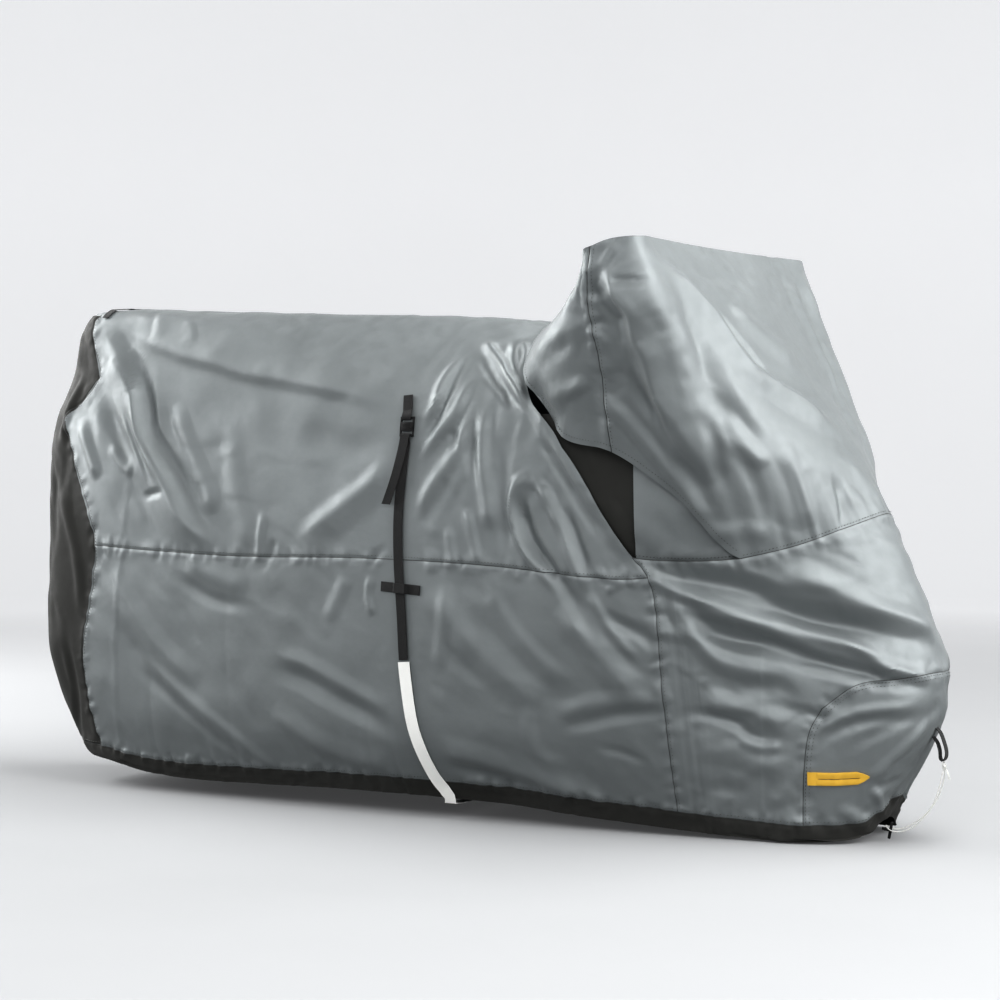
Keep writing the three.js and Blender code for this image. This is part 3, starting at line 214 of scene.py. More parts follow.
class Loft:
    """A surface faired through a table of offsets, mirrored about the middle plane for the left side."""

    def __init__(self, rows: Sequence[Sequence[tuple]], crosses_top: bool, even_stations: bool) -> None:
        """Takes the table and adds the ghost rows beyond its ends.

        Args:
            rows: Stations, each a row of points.
            crosses_top: Whether the cloth goes on over the middle plane above the first level.
            even_stations: Whether the stations' knots are even.
        """
        body = np.array(rows, float)
        self.stations, self.levels = body.shape[:2]
        above = 2 * body[:, 0] - body[:, 1]
        if crosses_top:
            above = np.stack([above[:, 0], -body[:, 1, 1], body[:, 1, 2]], axis=-1)
        below = 2 * body[:, -1] - body[:, -2]
        full = np.concatenate([above[:, None], body, below[:, None]], axis=1)
        flip = np.array([1.0, -1.0, 1.0])
        self.table = np.concatenate([full[1:2] * flip, full, full[-2:-1] * flip], axis=0)
        self.crosses_top = crosses_top
        self.even_stations = even_stations
        self.reach_u = distance_along(body[:, 3]) / 1000
        self.reach_v = distance_along(body[5]) / 1000

    def point(self, u: Array, v: Array, side: Side) -> Array:
        """Points of the bare surface.

        Args:
            u: Stations.
            v: Levels, of the same shape.
            side: The side of the cover.

        Returns:
            An array of points with a last axis of three.
        """
        k = np.clip(np.floor(u).astype(int), 0, self.stations - 2)
        j = np.clip(np.floor(v).astype(int), 0, self.levels - 2)
        t, s = (u - k)[..., None], (v - j)[..., None]
        near = [fair(*(self.table[k + dk, j + dj] for dj in range(4)), s, True) for dk in range(4)]
        place = fair(*near, t, self.even_stations)
        place[..., 1] *= side.value
        return place

    def normal(self, u: Array, v: Array, side: Side) -> Array:
        """Outward normals of the bare surface at stations u and levels v."""
        along = self.point(u + STEP, v, side) - self.point(u - STEP, v, side)
        below, above = np.minimum(v + STEP, self.levels - 1), np.maximum(v - STEP, 0)
        down = self.point(u, below, side) - self.point(u, above, side)
        normal = np.cross(down, along) if side is Side.RIGHT else np.cross(along, down)
        middle = (u <= 0) | (u >= self.stations - 1)
        if self.crosses_top:
            middle = middle | (v <= 0)
        normal[..., 1] = np.where(middle, 0.0, normal[..., 1])
        return unit(normal)

    def shift(self, u: Array, v: Array, side: Side, move: Array) -> tuple[Array, Array]:
        """Stations and levels reached from u, v by a move along the cloth.

        Args:
            u: Stations.
            v: Levels.
            side: The side of the cover.
            move: Vectors in millimetres.

        Returns:
            The new stations and levels.
        """
        by_u = (self.point(u + STEP, v, side) - self.point(u - STEP, v, side)) / (2 * STEP)
        by_v = (self.point(u, v + STEP, side) - self.point(u, v - STEP, side)) / (2 * STEP)
        a, b, c = (by_u * by_u).sum(-1), (by_u * by_v).sum(-1), (by_v * by_v).sum(-1)
        p, q = (by_u * move).sum(-1), (by_v * move).sum(-1)
        det = np.maximum(a * c - b * b, 1e-3)
        return u + (c * p - b * q) / det, v + (a * q - b * p) / det

    def grain(self, u: Array, v: Array, side: Side) -> Array:
        """Texture coordinates in metres along and down the cloth."""
        s = np.interp(u, np.arange(self.stations), self.reach_u)
        t = np.interp(v, np.arange(self.levels), self.reach_v)
        return np.stack([s, t * side.value], axis=-1)


BODY = Loft(BODY_ROWS, crosses_top=True, even_stations=True)
HOOD = Loft(HOOD_ROWS, crosses_top=False, even_stations=False)


def path_through(knots: Sequence[Sequence[float]], steps: int) -> Array:
    """A path faired through its knots.

    Args:
        knots: Places or points on the path.
        steps: Number of steps.

    Returns:
        An array of steps + 1 places or points.
    """
    p = np.array(knots, float)
    p = np.concatenate([[2 * p[0] - p[1]], p, [2 * p[-1] - p[-2]]])
    spans = len(knots) - 1
    t = np.linspace(0, spans, steps + 1)
    k = np.minimum(t.astype(int), spans - 1)
    return fair(p[k], p[k + 1], p[k + 2], p[k + 3], (t - k)[:, None], least=1e-8)


def nearest_on_path(points: Array, trace: Array) -> tuple[Array, Array, Array, Array]:
    """Nearest places of a traced path.

    Args:
        points: Points, one a row.
        trace: The path's points.

    Returns:
        Distance, share of the way along the path, foot points and the path's direction there.
    """
    start, run = trace[:-1], np.diff(trace, axis=0)
    size = np.maximum((run * run).sum(1), 1e-9)
    t = np.clip(np.einsum("nmk,mk->nm", points[:, None] - start[None], run) / size, 0, 1)
    foot = start[None] + t[..., None] * run[None]
    gap = ((points[:, None] - foot) ** 2).sum(2)
    k = gap.argmin(1)
    row = np.arange(len(points))
    return np.sqrt(gap[row, k]), (k + t[row, k]) / len(run), foot[row, k], run[k]


@dataclass(frozen=True)
class Crease:
    """A fold line on the cloth.

    Its height over the cloth is high on the line and nothing at the distance wide. With sharp at 1 the crest
    is an edge, and at 0 it is round. It dies away faster at its ends with a higher value of ends, and with lean
    it is wider on one side of its path than on the other.
    """

    trace: Array
    wide: float
    high: float
    sharp: float
    ends: float
    lean: float = 0.0
    crest: float = 4.0

    def height(self, points: Array, normals: Array) -> Array:
        """Height of the fold over points that lie near it."""
        distance, along, foot, run = nearest_on_path(points, self.trace)
        sign = np.sign((np.cross(normals, run) * (points - foot)).sum(-1))
        x = (np.sqrt(distance * distance + self.crest ** 2) - self.crest) / (self.wide * (1 - self.lean * sign))
        inside = np.clip(1 - x, 0, 1)
        shape = (1 - self.sharp) * smooth(inside) + self.sharp * inside ** 1.4
        taper = smooth(self.ends * along + 0.15) * smooth(self.ends * (1 - along) + 0.15)
        return self.high * shape * taper


@dataclass
class CreaseField:
    """All the folds of a part of the cloth."""

    creases: list[Crease]

    def height(self, points: Array, normals: Array) -> Array:
        """Height of the folds over bare points.

        Args:
            points: Points, with a last axis of three.
            normals: Outward normals at the points.

        Returns:
            The heights in millimetres.
        """
        flat, facing = points.reshape(-1, 3), normals.reshape(-1, 3)
        order = np.argsort(flat[:, 0], kind="stable")
        xs = flat[order, 0]
        total = np.zeros(len(flat))
        for crease in self.creases:
            reach = crease.wide * (1 + abs(crease.lean))
            low, high = crease.trace.min(0) - reach, crease.trace.max(0) + reach
            some = order[np.searchsorted(xs, low[0]):np.searchsorted(xs, high[0])]
            some = some[np.all((flat[some, 1:] > low[1:]) & (flat[some, 1:] < high[1:]), axis=1)]
            for first in range(0, len(some), CHUNK):
                part = some[first:first + CHUNK]
                total[part] += crease.height(flat[part], facing[part])
        return total.reshape(points.shape[:-1])


def ripple(points: Array, waves: Array) -> Array:
    """Sum of plane waves over points; each wave is a row of direction over wavelength, phase and height."""
    phase = points @ waves[:, :3].T + waves[:, 3]
    return (np.sin(phase) * waves[:, 4]).sum(-1)


def make_waves(seed: int, count: int, short: float, long: float, share: float) -> Array:
    """Rows for ripple, with wavelengths from short to long and heights of share times the wavelength."""
    dice = np.random.default_rng(seed)
    lengths = np.exp(dice.uniform(math.log(short), math.log(long), count))
    heading = unit(dice.normal(size=(count, 3)))
    rows = heading * (2 * math.pi / lengths)[:, None]
    return np.column_stack([rows, dice.uniform(0, 2 * math.pi, count), lengths * share / math.sqrt(count)])


@dataclass(frozen=True)
class Fold:
    """A main fold: its path of station and level places, and the profile across it."""

    side: Side
    path: Knots
    wide: float
    high: float
    sharp: float
    lean: float = 0.0

    def crease(self, loft: Loft) -> Crease:
        """The fold traced on a surface; a trough dies away more slowly at its ends than a ridge."""
        u, v = path_through(self.path, 44).T
        ends = 2.6 if self.high < 0 else 4.0
        return Crease(loft.point(u, v, self.side), self.wide, self.high, self.sharp, ends, self.lean)


@dataclass(frozen=True)
class Crumple:
    """A patch of the cloth with many small creases that lie much the same way.

    The angle is from the front direction upwards, in degrees, and each crease differs from it by up to fan.
    """

    side: Side
    stations: Place
    levels: Place
    angle: float
    fan: float
    count: int
    length: Place
    wide: Place
    high: float
    sharp: float = 0.75

    def creases(self, loft: Loft, dice: np.random.Generator) -> list[Crease]:
        """The patch's creases.

        Args:
            loft: The surface that they lie on.
            dice: Seeded source of the differences between them.

        Returns:
            The creases.
        """
        made = []
        for _ in range(self.count):
            u, v = dice.uniform(*self.stations), dice.uniform(*self.levels)
            turn = math.radians(self.angle + dice.uniform(-self.fan, self.fan))
            length, wide = dice.uniform(*self.length), dice.uniform(*self.wide)
            high = self.high * dice.uniform(0.45, 1.0) * dice.choice([-1, 1]) * wide / self.wide[1]
            bend = dice.uniform(-0.15, 0.15)
            lean = dice.uniform(-0.5, 0.5)
            made.append(short_crease(loft, self.side, (u, v), turn, (length, bend), wide, high, self.sharp, lean))
        return made


def short_crease(loft: Loft, side: Side, place: Place, turn: float, run: Place, wide: float, high: float,
                 sharp: float, lean: float) -> Crease:
    """A short crease through a place.

    Args:
        loft: The surface.
        side: The side of the cover.
        place: Station and level of its middle.
        turn: Angle from the front direction upwards, in radians.
        run: Its length and its bend, as a share of the length.
        wide: Distance at which it fades out.
        high: Its height.
        sharp: From 0, round, to 1, an edge.
        lean: How much wider it is on one side.

    Returns:
        The crease.
    """
    u, v = np.array(place[0]), np.array(place[1])
    front = unit(loft.point(u + STEP, v, side) - loft.point(u - STEP, v, side))
    rise = loft.point(u, v - STEP, side) - loft.point(u, v + STEP, side)
    rise = unit(rise - front * (rise * front).sum())
    count = 7
    t = np.linspace(-0.5, 0.5, count)[:, None]
    along = front * math.cos(turn) + rise * math.sin(turn)
    across = rise * math.cos(turn) - front * math.sin(turn)
    move = run[0] * (along * t + across * run[1] * (1 - 4 * t * t))
    us, vs = loft.shift(np.full(count, u), np.full(count, v), side, move)
    trace = loft.point(us, np.clip(vs, 0, loft.levels - 1), side)
    return Crease(trace, wide, high, sharp, 3.0, lean)


@dataclass(frozen=True)
class Seam:
    """A sewn seam: a narrow groove on a low roll of doubled cloth, with puckers across it."""

    knots: Knots
    spacing: float = 14.0
    pucker: float = 2.1
    reach: Place = (24, 64)
    roll_wide: float = 26.0
    roll_high: float = 1.0
    groove_wide: float = 5.0
    groove_high: float = -1.8
    full_length: float = 40.0
    pucker_wide: Place = (7, 13)
    fan: float = 0.45
    margin: float = 5.0

    def creases(self, loft: Loft, side: Side, dice: np.random.Generator) -> list[Crease]:
        """The seam's roll, groove and puckers.

        Args:
            loft: The surface.
            side: The side of the cover.
            dice: Seeded source of the puckers' differences.

        Returns:
            The creases.
        """
        places = path_through(self.knots, 16 * (len(self.knots) - 1))
        trace = loft.point(places[:, 0], places[:, 1], side)
        made = [Crease(trace, self.roll_wide, self.roll_high, 0.3, self.full_length),
                Crease(trace, self.groove_wide, self.groove_high, 0.6, self.full_length, crest=0.5)]
        reach = distance_along(trace)
        at = dice.uniform(self.margin, self.spacing)
        while at < reach[-1] - self.margin:
            u, v = (float(np.interp(at, reach, places[:, axis])) for axis in (0, 1))
            k = min(int(np.searchsorted(reach, at)), len(trace) - 1)
            run = trace[k] - trace[k - 1]
            flat = math.atan2(run[2], math.hypot(run[0], run[1]) * (1 if run[0] >= 0 else -1))
            turn = flat + math.pi / 2 + dice.uniform(-self.fan, self.fan)
            length, wide = dice.uniform(*self.reach), dice.uniform(*self.pucker_wide)
            high = self.pucker * dice.uniform(0.3, 1.0) * dice.choice([-1, 1])
            made.append(short_crease(loft, side, (u, v), turn, (length, 0), wide, high, 0.5, 0))
            at += self.spacing * dice.uniform(0.45, 1.5)
        return made


R, L = Side.RIGHT, Side.LEFT


def folds(side: Side, rows: Sequence[tuple]) -> list[Fold]:
    """Folds of one side, from rows of path in hundredths, width, height, sharpness and lean."""
    return [Fold(side, [(u / 100, v / 100) for u, v in zip(path[::2], path[1::2])], *rest) for path, *rest in rows]


# Main folds of the body. A path is station, level, station, level and so on, in hundredths
BODY_FOLDS = folds(R, [
    ((223, 135, 258, 210, 280, 245, 293, 280, 323, 328, 350, 373, 375, 393), 62, 27, 0.9, 0.4),
    ((270, 260, 293, 298, 315, 338), 13, -8, 0.5),
    ((300, 348, 315, 345, 328, 343), 9, -6, 0.5),
    ((240, 155, 262, 210, 293, 253, 305, 290, 333, 323, 365, 378), 28, -13, 0.4, -0.2),
    ((220, 235, 248, 268, 270, 293, 293, 320), 32, -8, 0.4),
    ((183, 248, 210, 295, 227, 328), 22, 9, 0.6),
    ((248, 293, 270, 315, 285, 325), 18, 6, 0.6),
    ((330, 262, 340, 285, 355, 318, 368, 345, 368, 365), 32, 8, 0.4),
    ((248, 145, 293, 202, 333, 218, 370, 220, 405, 223, 442, 220, 483, 218, 528, 230), 44, 10, 0.85, -0.4),
    ((388, 270, 388, 320, 398, 365, 408, 395), 40, 4, 0.3),
    ((417, 360, 415, 388, 415, 405), 12, 6, 0.9),
    ((428, 383, 423, 405), 12, -4, 0.5),
    ((528, 305, 503, 335, 475, 362, 450, 385), 46, 9, 0.8, -0.3),
    ((448, 273, 480, 290, 520, 288), 50, -5, 0.3),
    ((533, 383, 520, 393, 510, 403), 12, -7, 0.5),
    ((573, 162, 562, 195, 558, 230, 548, 258), 17, 8, 0.7),
    ((573, 183, 565, 227, 558, 262, 550, 283), 13, -9, 0.5),
    ((588, 195, 578, 243, 562, 275, 548, 305), 18, 8, 0.7),
    ((600, 218, 590, 270, 575, 305, 555, 340, 543, 365), 26, 9, 0.7),
    ((578, 265, 580, 295), 14, -6, 0.2),
    ((612, 225, 608, 278, 608, 312, 610, 350, 610, 370), 24, 9, 0.6),
    ((595, 235, 595, 288, 598, 333), 20, -6, 0.3),
    ((573, 368, 575, 388, 578, 405), 15, 5, 0.6),
    ((590, 350, 593, 375, 598, 400), 15, 6, 0.6),
    ((635, 280, 628, 323, 623, 365, 625, 395), 22, -6, 0.3),
    ((588, 140, 605, 158, 633, 178, 675, 210, 685, 245), 15, 13, 0.8),
    ((585, 155, 608, 185, 643, 215, 662, 245), 17, -8, 0.4),
    ((628, 135, 640, 160, 670, 190), 12, -7, 0.3),
    ((648, 135, 675, 150, 683, 170), 10, 7, 0.6),
    ((658, 323, 643, 330, 635, 345, 635, 362, 643, 383, 668, 405, 695, 428), 17, 12, 0.6),
    ((648, 338, 643, 350, 648, 373, 670, 400, 700, 430, 728, 460), 24, -15, 0.35),
    ((660, 323, 673, 338, 680, 353, 688, 365, 698, 395, 712, 417), 19, 11, 0.6),
    ((693, 348, 703, 375, 715, 400), 17, -7, 0.4),
    ((680, 288, 693, 310, 712, 343, 740, 370), 15, -6, 0.4),
    ((725, 393, 745, 400, 775, 393), 11, 7, 0.6),
    ((735, 412, 762, 403, 790, 403), 10, 5, 0.6),
    ((678, 425, 712, 453, 743, 480, 775, 510), 48, 13, 0.5),
    ((788, 393, 812, 405, 840, 420, 893, 442, 973, 455, 1040, 467, 1098, 483, 1180, 498), 19, 13, 0.85),
    ((840, 433, 875, 442, 970, 462, 1048, 478, 1108, 488, 1170, 498), 15, 9, 0.8),
    ((803, 395, 835, 405, 865, 415, 973, 445, 1073, 462, 1153, 470), 40, -24, 0.3),
    ((968, 415, 1018, 430, 1083, 450, 1158, 465, 1200, 473), 38, 17, 0.6),
    ((822, 420, 862, 450, 970, 470, 1065, 485, 1160, 498), 32, -19, 0.3),
    ((822, 417, 830, 433, 843, 450, 862, 470, 903, 480, 970, 485), 27, 10, 0.75),
    ((845, 505, 895, 510, 968, 520), 26, 8, 0.6),
    ((825, 538, 893, 543, 970, 553), 32, 6, 0.5),
    ((847, 478, 883, 493, 953, 495, 983, 508), 26, -6, 0.4),
    ((1025, 470, 1070, 480, 1115, 490), 13, 6, 0.7),
    ((1005, 523, 1033, 515, 1062, 510, 1143, 510), 13, 5, 0.7),
    ((1008, 530, 1055, 518, 1140, 518), 14, -5, 0.5),
    ((1083, 560, 1108, 548, 1140, 535, 1168, 525), 18, 6, 0.7),
    ((1048, 535, 1088, 523, 1153, 518), 15, -4, 0.5),
    ((1088, 562, 1128, 585, 1200, 700), 12, 6, 0.6),
    ((1090, 562, 1123, 568, 1165, 570), 10, -5, 0.5),
    ((1045, 580, 1098, 598, 1155, 700), 18, 6, 0.6),
    ((510, 415, 508, 433, 512, 448), 10, 5, 0.6),
    ((558, 423, 583, 455, 625, 490, 673, 520), 50, 8, 0.5),
    ((145, 338, 170, 403, 195, 465), 22, 7, 0.6),
    ((168, 475, 173, 533, 123, 595), 20, -7, 0.6),
    ((170, 188, 148, 233, 145, 288), 18, 7, 0.6),
    ((697, 200, 705, 300, 740, 342, 784, 383), 34, 10, 0.6, -0.2),
    ((293, 490, 333, 518, 370, 545, 400, 573, 425, 608), 28, 6.2, 0.9, 0.3),
    ((280, 498, 323, 525, 360, 553, 390, 583), 18, -3.7, 0.5),
    ((425, 495, 450, 503, 478, 518, 508, 533, 538, 553), 32, -9.3, 0.45),
    ((430, 483, 460, 493, 490, 510, 523, 528), 28, 5, 0.7),
    ((245, 417, 290, 455, 325, 488, 358, 515), 46, 6.8, 0.8, 0.2),
    ((240, 453, 275, 478, 308, 508, 330, 528), 34, -5, 0.5),
    ((333, 417, 353, 430, 375, 440, 410, 445), 20, -5.6, 0.5),
    ((348, 408, 373, 417, 405, 428), 36, 6.2, 0.4),
    ((425, 533, 445, 550, 470, 568, 503, 580, 525, 578), 36, 7.4, 0.7, -0.2),
    ((553, 560, 588, 565, 630, 575, 680, 588, 728, 595), 34, 9.3, 0.8, -0.3),
    ((560, 575, 595, 583, 633, 598), 20, -5.6, 0.5),
    ((710, 412, 735, 438, 780, 475), 14, 6.2, 0.8),
    ((728, 430, 758, 440, 783, 450, 800, 465), 18, -8.1, 0.45),
    ((605, 403, 615, 430, 628, 448, 648, 465, 670, 480, 700, 495), 30, 5.6, 0.7, 0.2),
    ((565, 493, 568, 465, 570, 445, 573, 417), 26, 5, 0.5),
    ((685, 530, 705, 528, 728, 523, 755, 518, 790, 515, 808, 515), 20, -6.8, 0.5),
    ((680, 523, 718, 512, 762, 508, 795, 508), 26, 5, 0.5),
    ((812, 518, 843, 515, 872, 518, 893, 523, 910, 528, 973, 530), 16, -7.4, 0.5),
    ((888, 530, 918, 535, 960, 535), 14, 4.3, 0.7),
    ((723, 545, 750, 548, 775, 555), 10, -4.3, 0.7),
    ((650, 515, 650, 533, 653, 545, 662, 558, 693, 565), 26, 4.3, 0.6),
    ((590, 435, 600, 467, 593, 503), 40, -3.7, 0.4),
    ((490, 417, 483, 433, 473, 455), 24, 3.7, 0.5),
    ((35, 170, 50, 310, 30, 470), 46, 8, 0.6),
    ((95, 310, 80, 430, 95, 540), 34, -8, 0.5),
]) + folds(L, [
    ((50, 140, 75, 270, 70, 430), 44, 9, 0.6, 0.3),
    ((115, 260, 130, 390, 110, 540), 32, 9, 0.6, -0.2),
    ((20, 330, 30, 460, 65, 560), 34, -8, 0.5),
    ((175, 150, 150, 220, 145, 310), 26, -8, 0.6),
    ((230, 150, 290, 260, 340, 390), 65, 16, 0.7),
    ((290, 200, 350, 300, 410, 390), 65, -14, 0.6),
    ((260, 440, 380, 520, 460, 590), 65, 11, 0.6),
    ((520, 130, 510, 260, 480, 370), 65, 11, 0.6),
    ((600, 130, 600, 260, 610, 350), 65, -11, 0.6),
    ((650, 310, 670, 400, 730, 480), 60, -15, 0.5),
    ((697, 200, 705, 300, 740, 342, 784, 383), 45, 10, 0.4),
    ((800, 395, 860, 425, 1000, 460, 1200, 490), 55, 14, 0.7),
    ((840, 410, 940, 430, 1060, 450), 55, -15, 0.6),
    ((580, 520, 720, 500, 880, 520), 65, 9, 0.6),
])

# Main folds of the hood
HOOD_FOLDS = [Fold(side, [(2.15, 4), (2.5, 4), (2.95, 4)], 75, -20, 0.2) for side in Side] + folds(R, [
    ((760, 103, 785, 150, 805, 185), 10, -7, 0.5),
    ((653, 260, 668, 293, 685, 315), 24, 8, 0.5),
    ((648, 298, 658, 338, 655, 375), 22, -6, 0.4),
    ((728, 285, 733, 335, 725, 385), 26, 7, 0.5),
    ((262, 383, 290, 323, 353, 273), 20, 7, 0.5),
    ((398, 293, 442, 318, 480, 345, 528, 378, 562, 390), 24, 9, 0.6),
    ((215, 380, 238, 295, 278, 220), 24, -5, 0.3),
    ((498, 70, 555, 80, 608, 85), 9, -5, 0.5),
    ((753, 45, 860, 48, 900, 80), 34, -5, 0.3),
    ((538, 400, 605, 378, 660, 385), 24, 5, 0.4),
    ((358, 58, 400, 115, 393, 208), 15, 5, 0.5),
    ((440, 30, 493, 60, 508, 95, 545, 130, 540, 173, 548, 205, 545, 238, 548, 283, 550, 308, 568, 328, 580, 345), 70,
      34, 0.85, -0.4),
    ((480, 225, 510, 268, 533, 298, 550, 325, 565, 348, 573, 368), 30, -14, 0.3),
    ((675, 100, 675, 145, 665, 195, 653, 238, 673, 278, 685, 300), 44, -14, 0.3),
    ((645, 43, 700, 75, 738, 115, 755, 173, 805, 198, 845, 218, 885, 260), 40, 17, 0.85, 0.2),
    ((615, 268, 618, 293, 608, 323, 600, 348), 18, -8, 0.4),
    ((815, 315, 803, 362, 785, 400), 18, -7, 0.5, -0.4),
    ((805, 95, 847, 130, 900, 155), 50, 9, 0.5),
]) + folds(L, [
    ((640, 20, 680, 140, 740, 230, 800, 340), 46, 18, 0.85),
    ((720, 30, 780, 160, 830, 300), 40, 11, 0.7),
    ((500, 140, 540, 260, 570, 350), 50, -14, 0.5),
])

# Crumpled patches of the body and of the hood
BODY_CRUMPLES = [Crumple(*row) for row in (
    (R, (2.1, 3.4), (1.3, 3.9), -58, 25, 10, (60, 150), (12, 26), 2.6),
    (R, (3.4, 5.3), (1.1, 3.0), -15, 40, 12, (80, 200), (30, 50), 2.4),
    (R, (3.6, 5.3), (3.0, 3.95), -15, 35, 12, (60, 150), (16, 30), 2.2),
    (R, (5.4, 6.6), (1.1, 3.6), 72, 24, 16, (70, 190), (14, 30), 2.6),
    (R, (6.2, 7.2), (2.0, 3.9), 60, 30, 14, (50, 150), (12, 26), 2.6),
    (R, (5.5, 7.9), (3.2, 4.1), -35, 30, 14, (60, 150), (12, 24), 2.4),
    (R, (2.2, 5.3), (4.1, 5.95), -42, 24, 38, (70, 200), (14, 34), 2.2),
    (R, (5.4, 8.0), (4.1, 5.95), -32, 32, 38, (60, 190), (14, 34), 2.2),
    (R, (8.0, 10.4), (4.1, 5.2), -24, 14, 26, (80, 260), (10, 24), 3.4),
    (R, (8.1, 10.2), (5.0, 5.95), 20, 40, 26, (60, 150), (14, 28), 3.0),
    (R, (10.0, 12), (4.0, 5.0), -22, 20, 20, (60, 180), (12, 26), 3.6),
    (R, (10.0, 12), (5.0, 6.0), 35, 45, 26, (50, 130), (12, 26), 3.0),
    (R, (7.4, 9.0), (2.6, 4.0), -40, 35, 26, (40, 110), (10, 22), 3.0),
    (L, (7.4, 9.0), (2.6, 4.0), -40, 35, 26, (40, 110), (10, 22), 3.0),
    (R, (2.2, 9.6), (5.95, 7.0), 60, 45, 70, (24, 60), (9, 16), 2.6),
    (L, (2.2, 9.6), (5.95, 7.0), 60, 45, 70, (24, 60), (9, 16), 2.6),
    (R, (0.1, 2.0), (1.2, 5.9), -75, 24, 50, (90, 260), (14, 34), 4.6),
    (R, (1.0, 7.0), (0.0, 0.9), 60, 60, 40, (60, 150), (16, 34), 2.4),
    (L, (2.1, 3.8), (1.2, 3.9), -55, 30, 34, (60, 170), (16, 34), 4.0),
    (L, (3.4, 6.4), (1.1, 3.9), 70, 35, 70, (70, 180), (18, 38), 3.2),
    (L, (6.2, 7.9), (2.0, 3.9), 55, 30, 34, (50, 150), (14, 28), 3.4),
    (L, (2.2, 8.0), (4.1, 5.95), -38, 30, 110, (80, 230), (18, 42), 4.0),
    (L, (8.0, 10.4), (4.1, 5.9), -28, 24, 60, (80, 240), (14, 34), 4.4),
    (L, (10.0, 12), (4.0, 6.0), 10, 50, 50, (50, 150), (12, 28), 3.2),
    (L, (0.1, 2.0), (1.2, 5.9), -75, 24, 50, (90, 260), (14, 34), 4.6),
    (L, (1.0, 7.0), (0.0, 0.9), 60, 60, 40, (60, 150), (16, 34), 2.4),
)]
HOOD_CRUMPLES = [Crumple(*row) for row in (
    (R, (4.0, 6.3), (0.1, 2.2), -50, 25, 18, (50, 140), (12, 24), 2.8),
    (R, (4.2, 6.3), (1.8, 3.8), -62, 25, 16, (60, 160), (14, 30), 3.0),
    (R, (6.2, 8.8), (0.2, 2.0), -35, 30, 14, (60, 170), (16, 34), 2.2),
    (R, (6.2, 9.0), (1.8, 3.9), -40, 30, 24, (60, 170), (16, 34), 3.0),
    (R, (0.2, 4.0), (0.1, 3.8), 70, 35, 40, (50, 140), (14, 28), 3.2),
    (L, (4.0, 6.3), (0.1, 3.8), -55, 30, 50, (50, 150), (14, 28), 3.4),
    (L, (6.2, 9.0), (0.1, 3.9), -40, 35, 60, (60, 170), (16, 34), 3.2),
    (L, (0.2, 4.0), (0.1, 3.8), 70, 35, 40, (50, 140), (14, 28), 3.2),
)]
BODY_SEAMS = [
    Seam(WAIST_SEAM), Seam(TAIL_SEAM), Seam(FRONT_SEAM), Seam(HOOD_SEAM + BOW_SEAM, pucker=2.4, reach=(26, 80)),
    Seam(WHEEL_SEAM_SIDE[::-1] + WHEEL_SEAM_TOP[1:]), Seam([(0, 1), (1, 1), (2, 1)]),
    Seam(HEM_SEAM, spacing=13, pucker=3.4, reach=(20, 50)),
]
HOOD_SEAMS = [Seam(HOOD_UPRIGHT_SEAM, pucker=2.6, reach=(26, 74))]


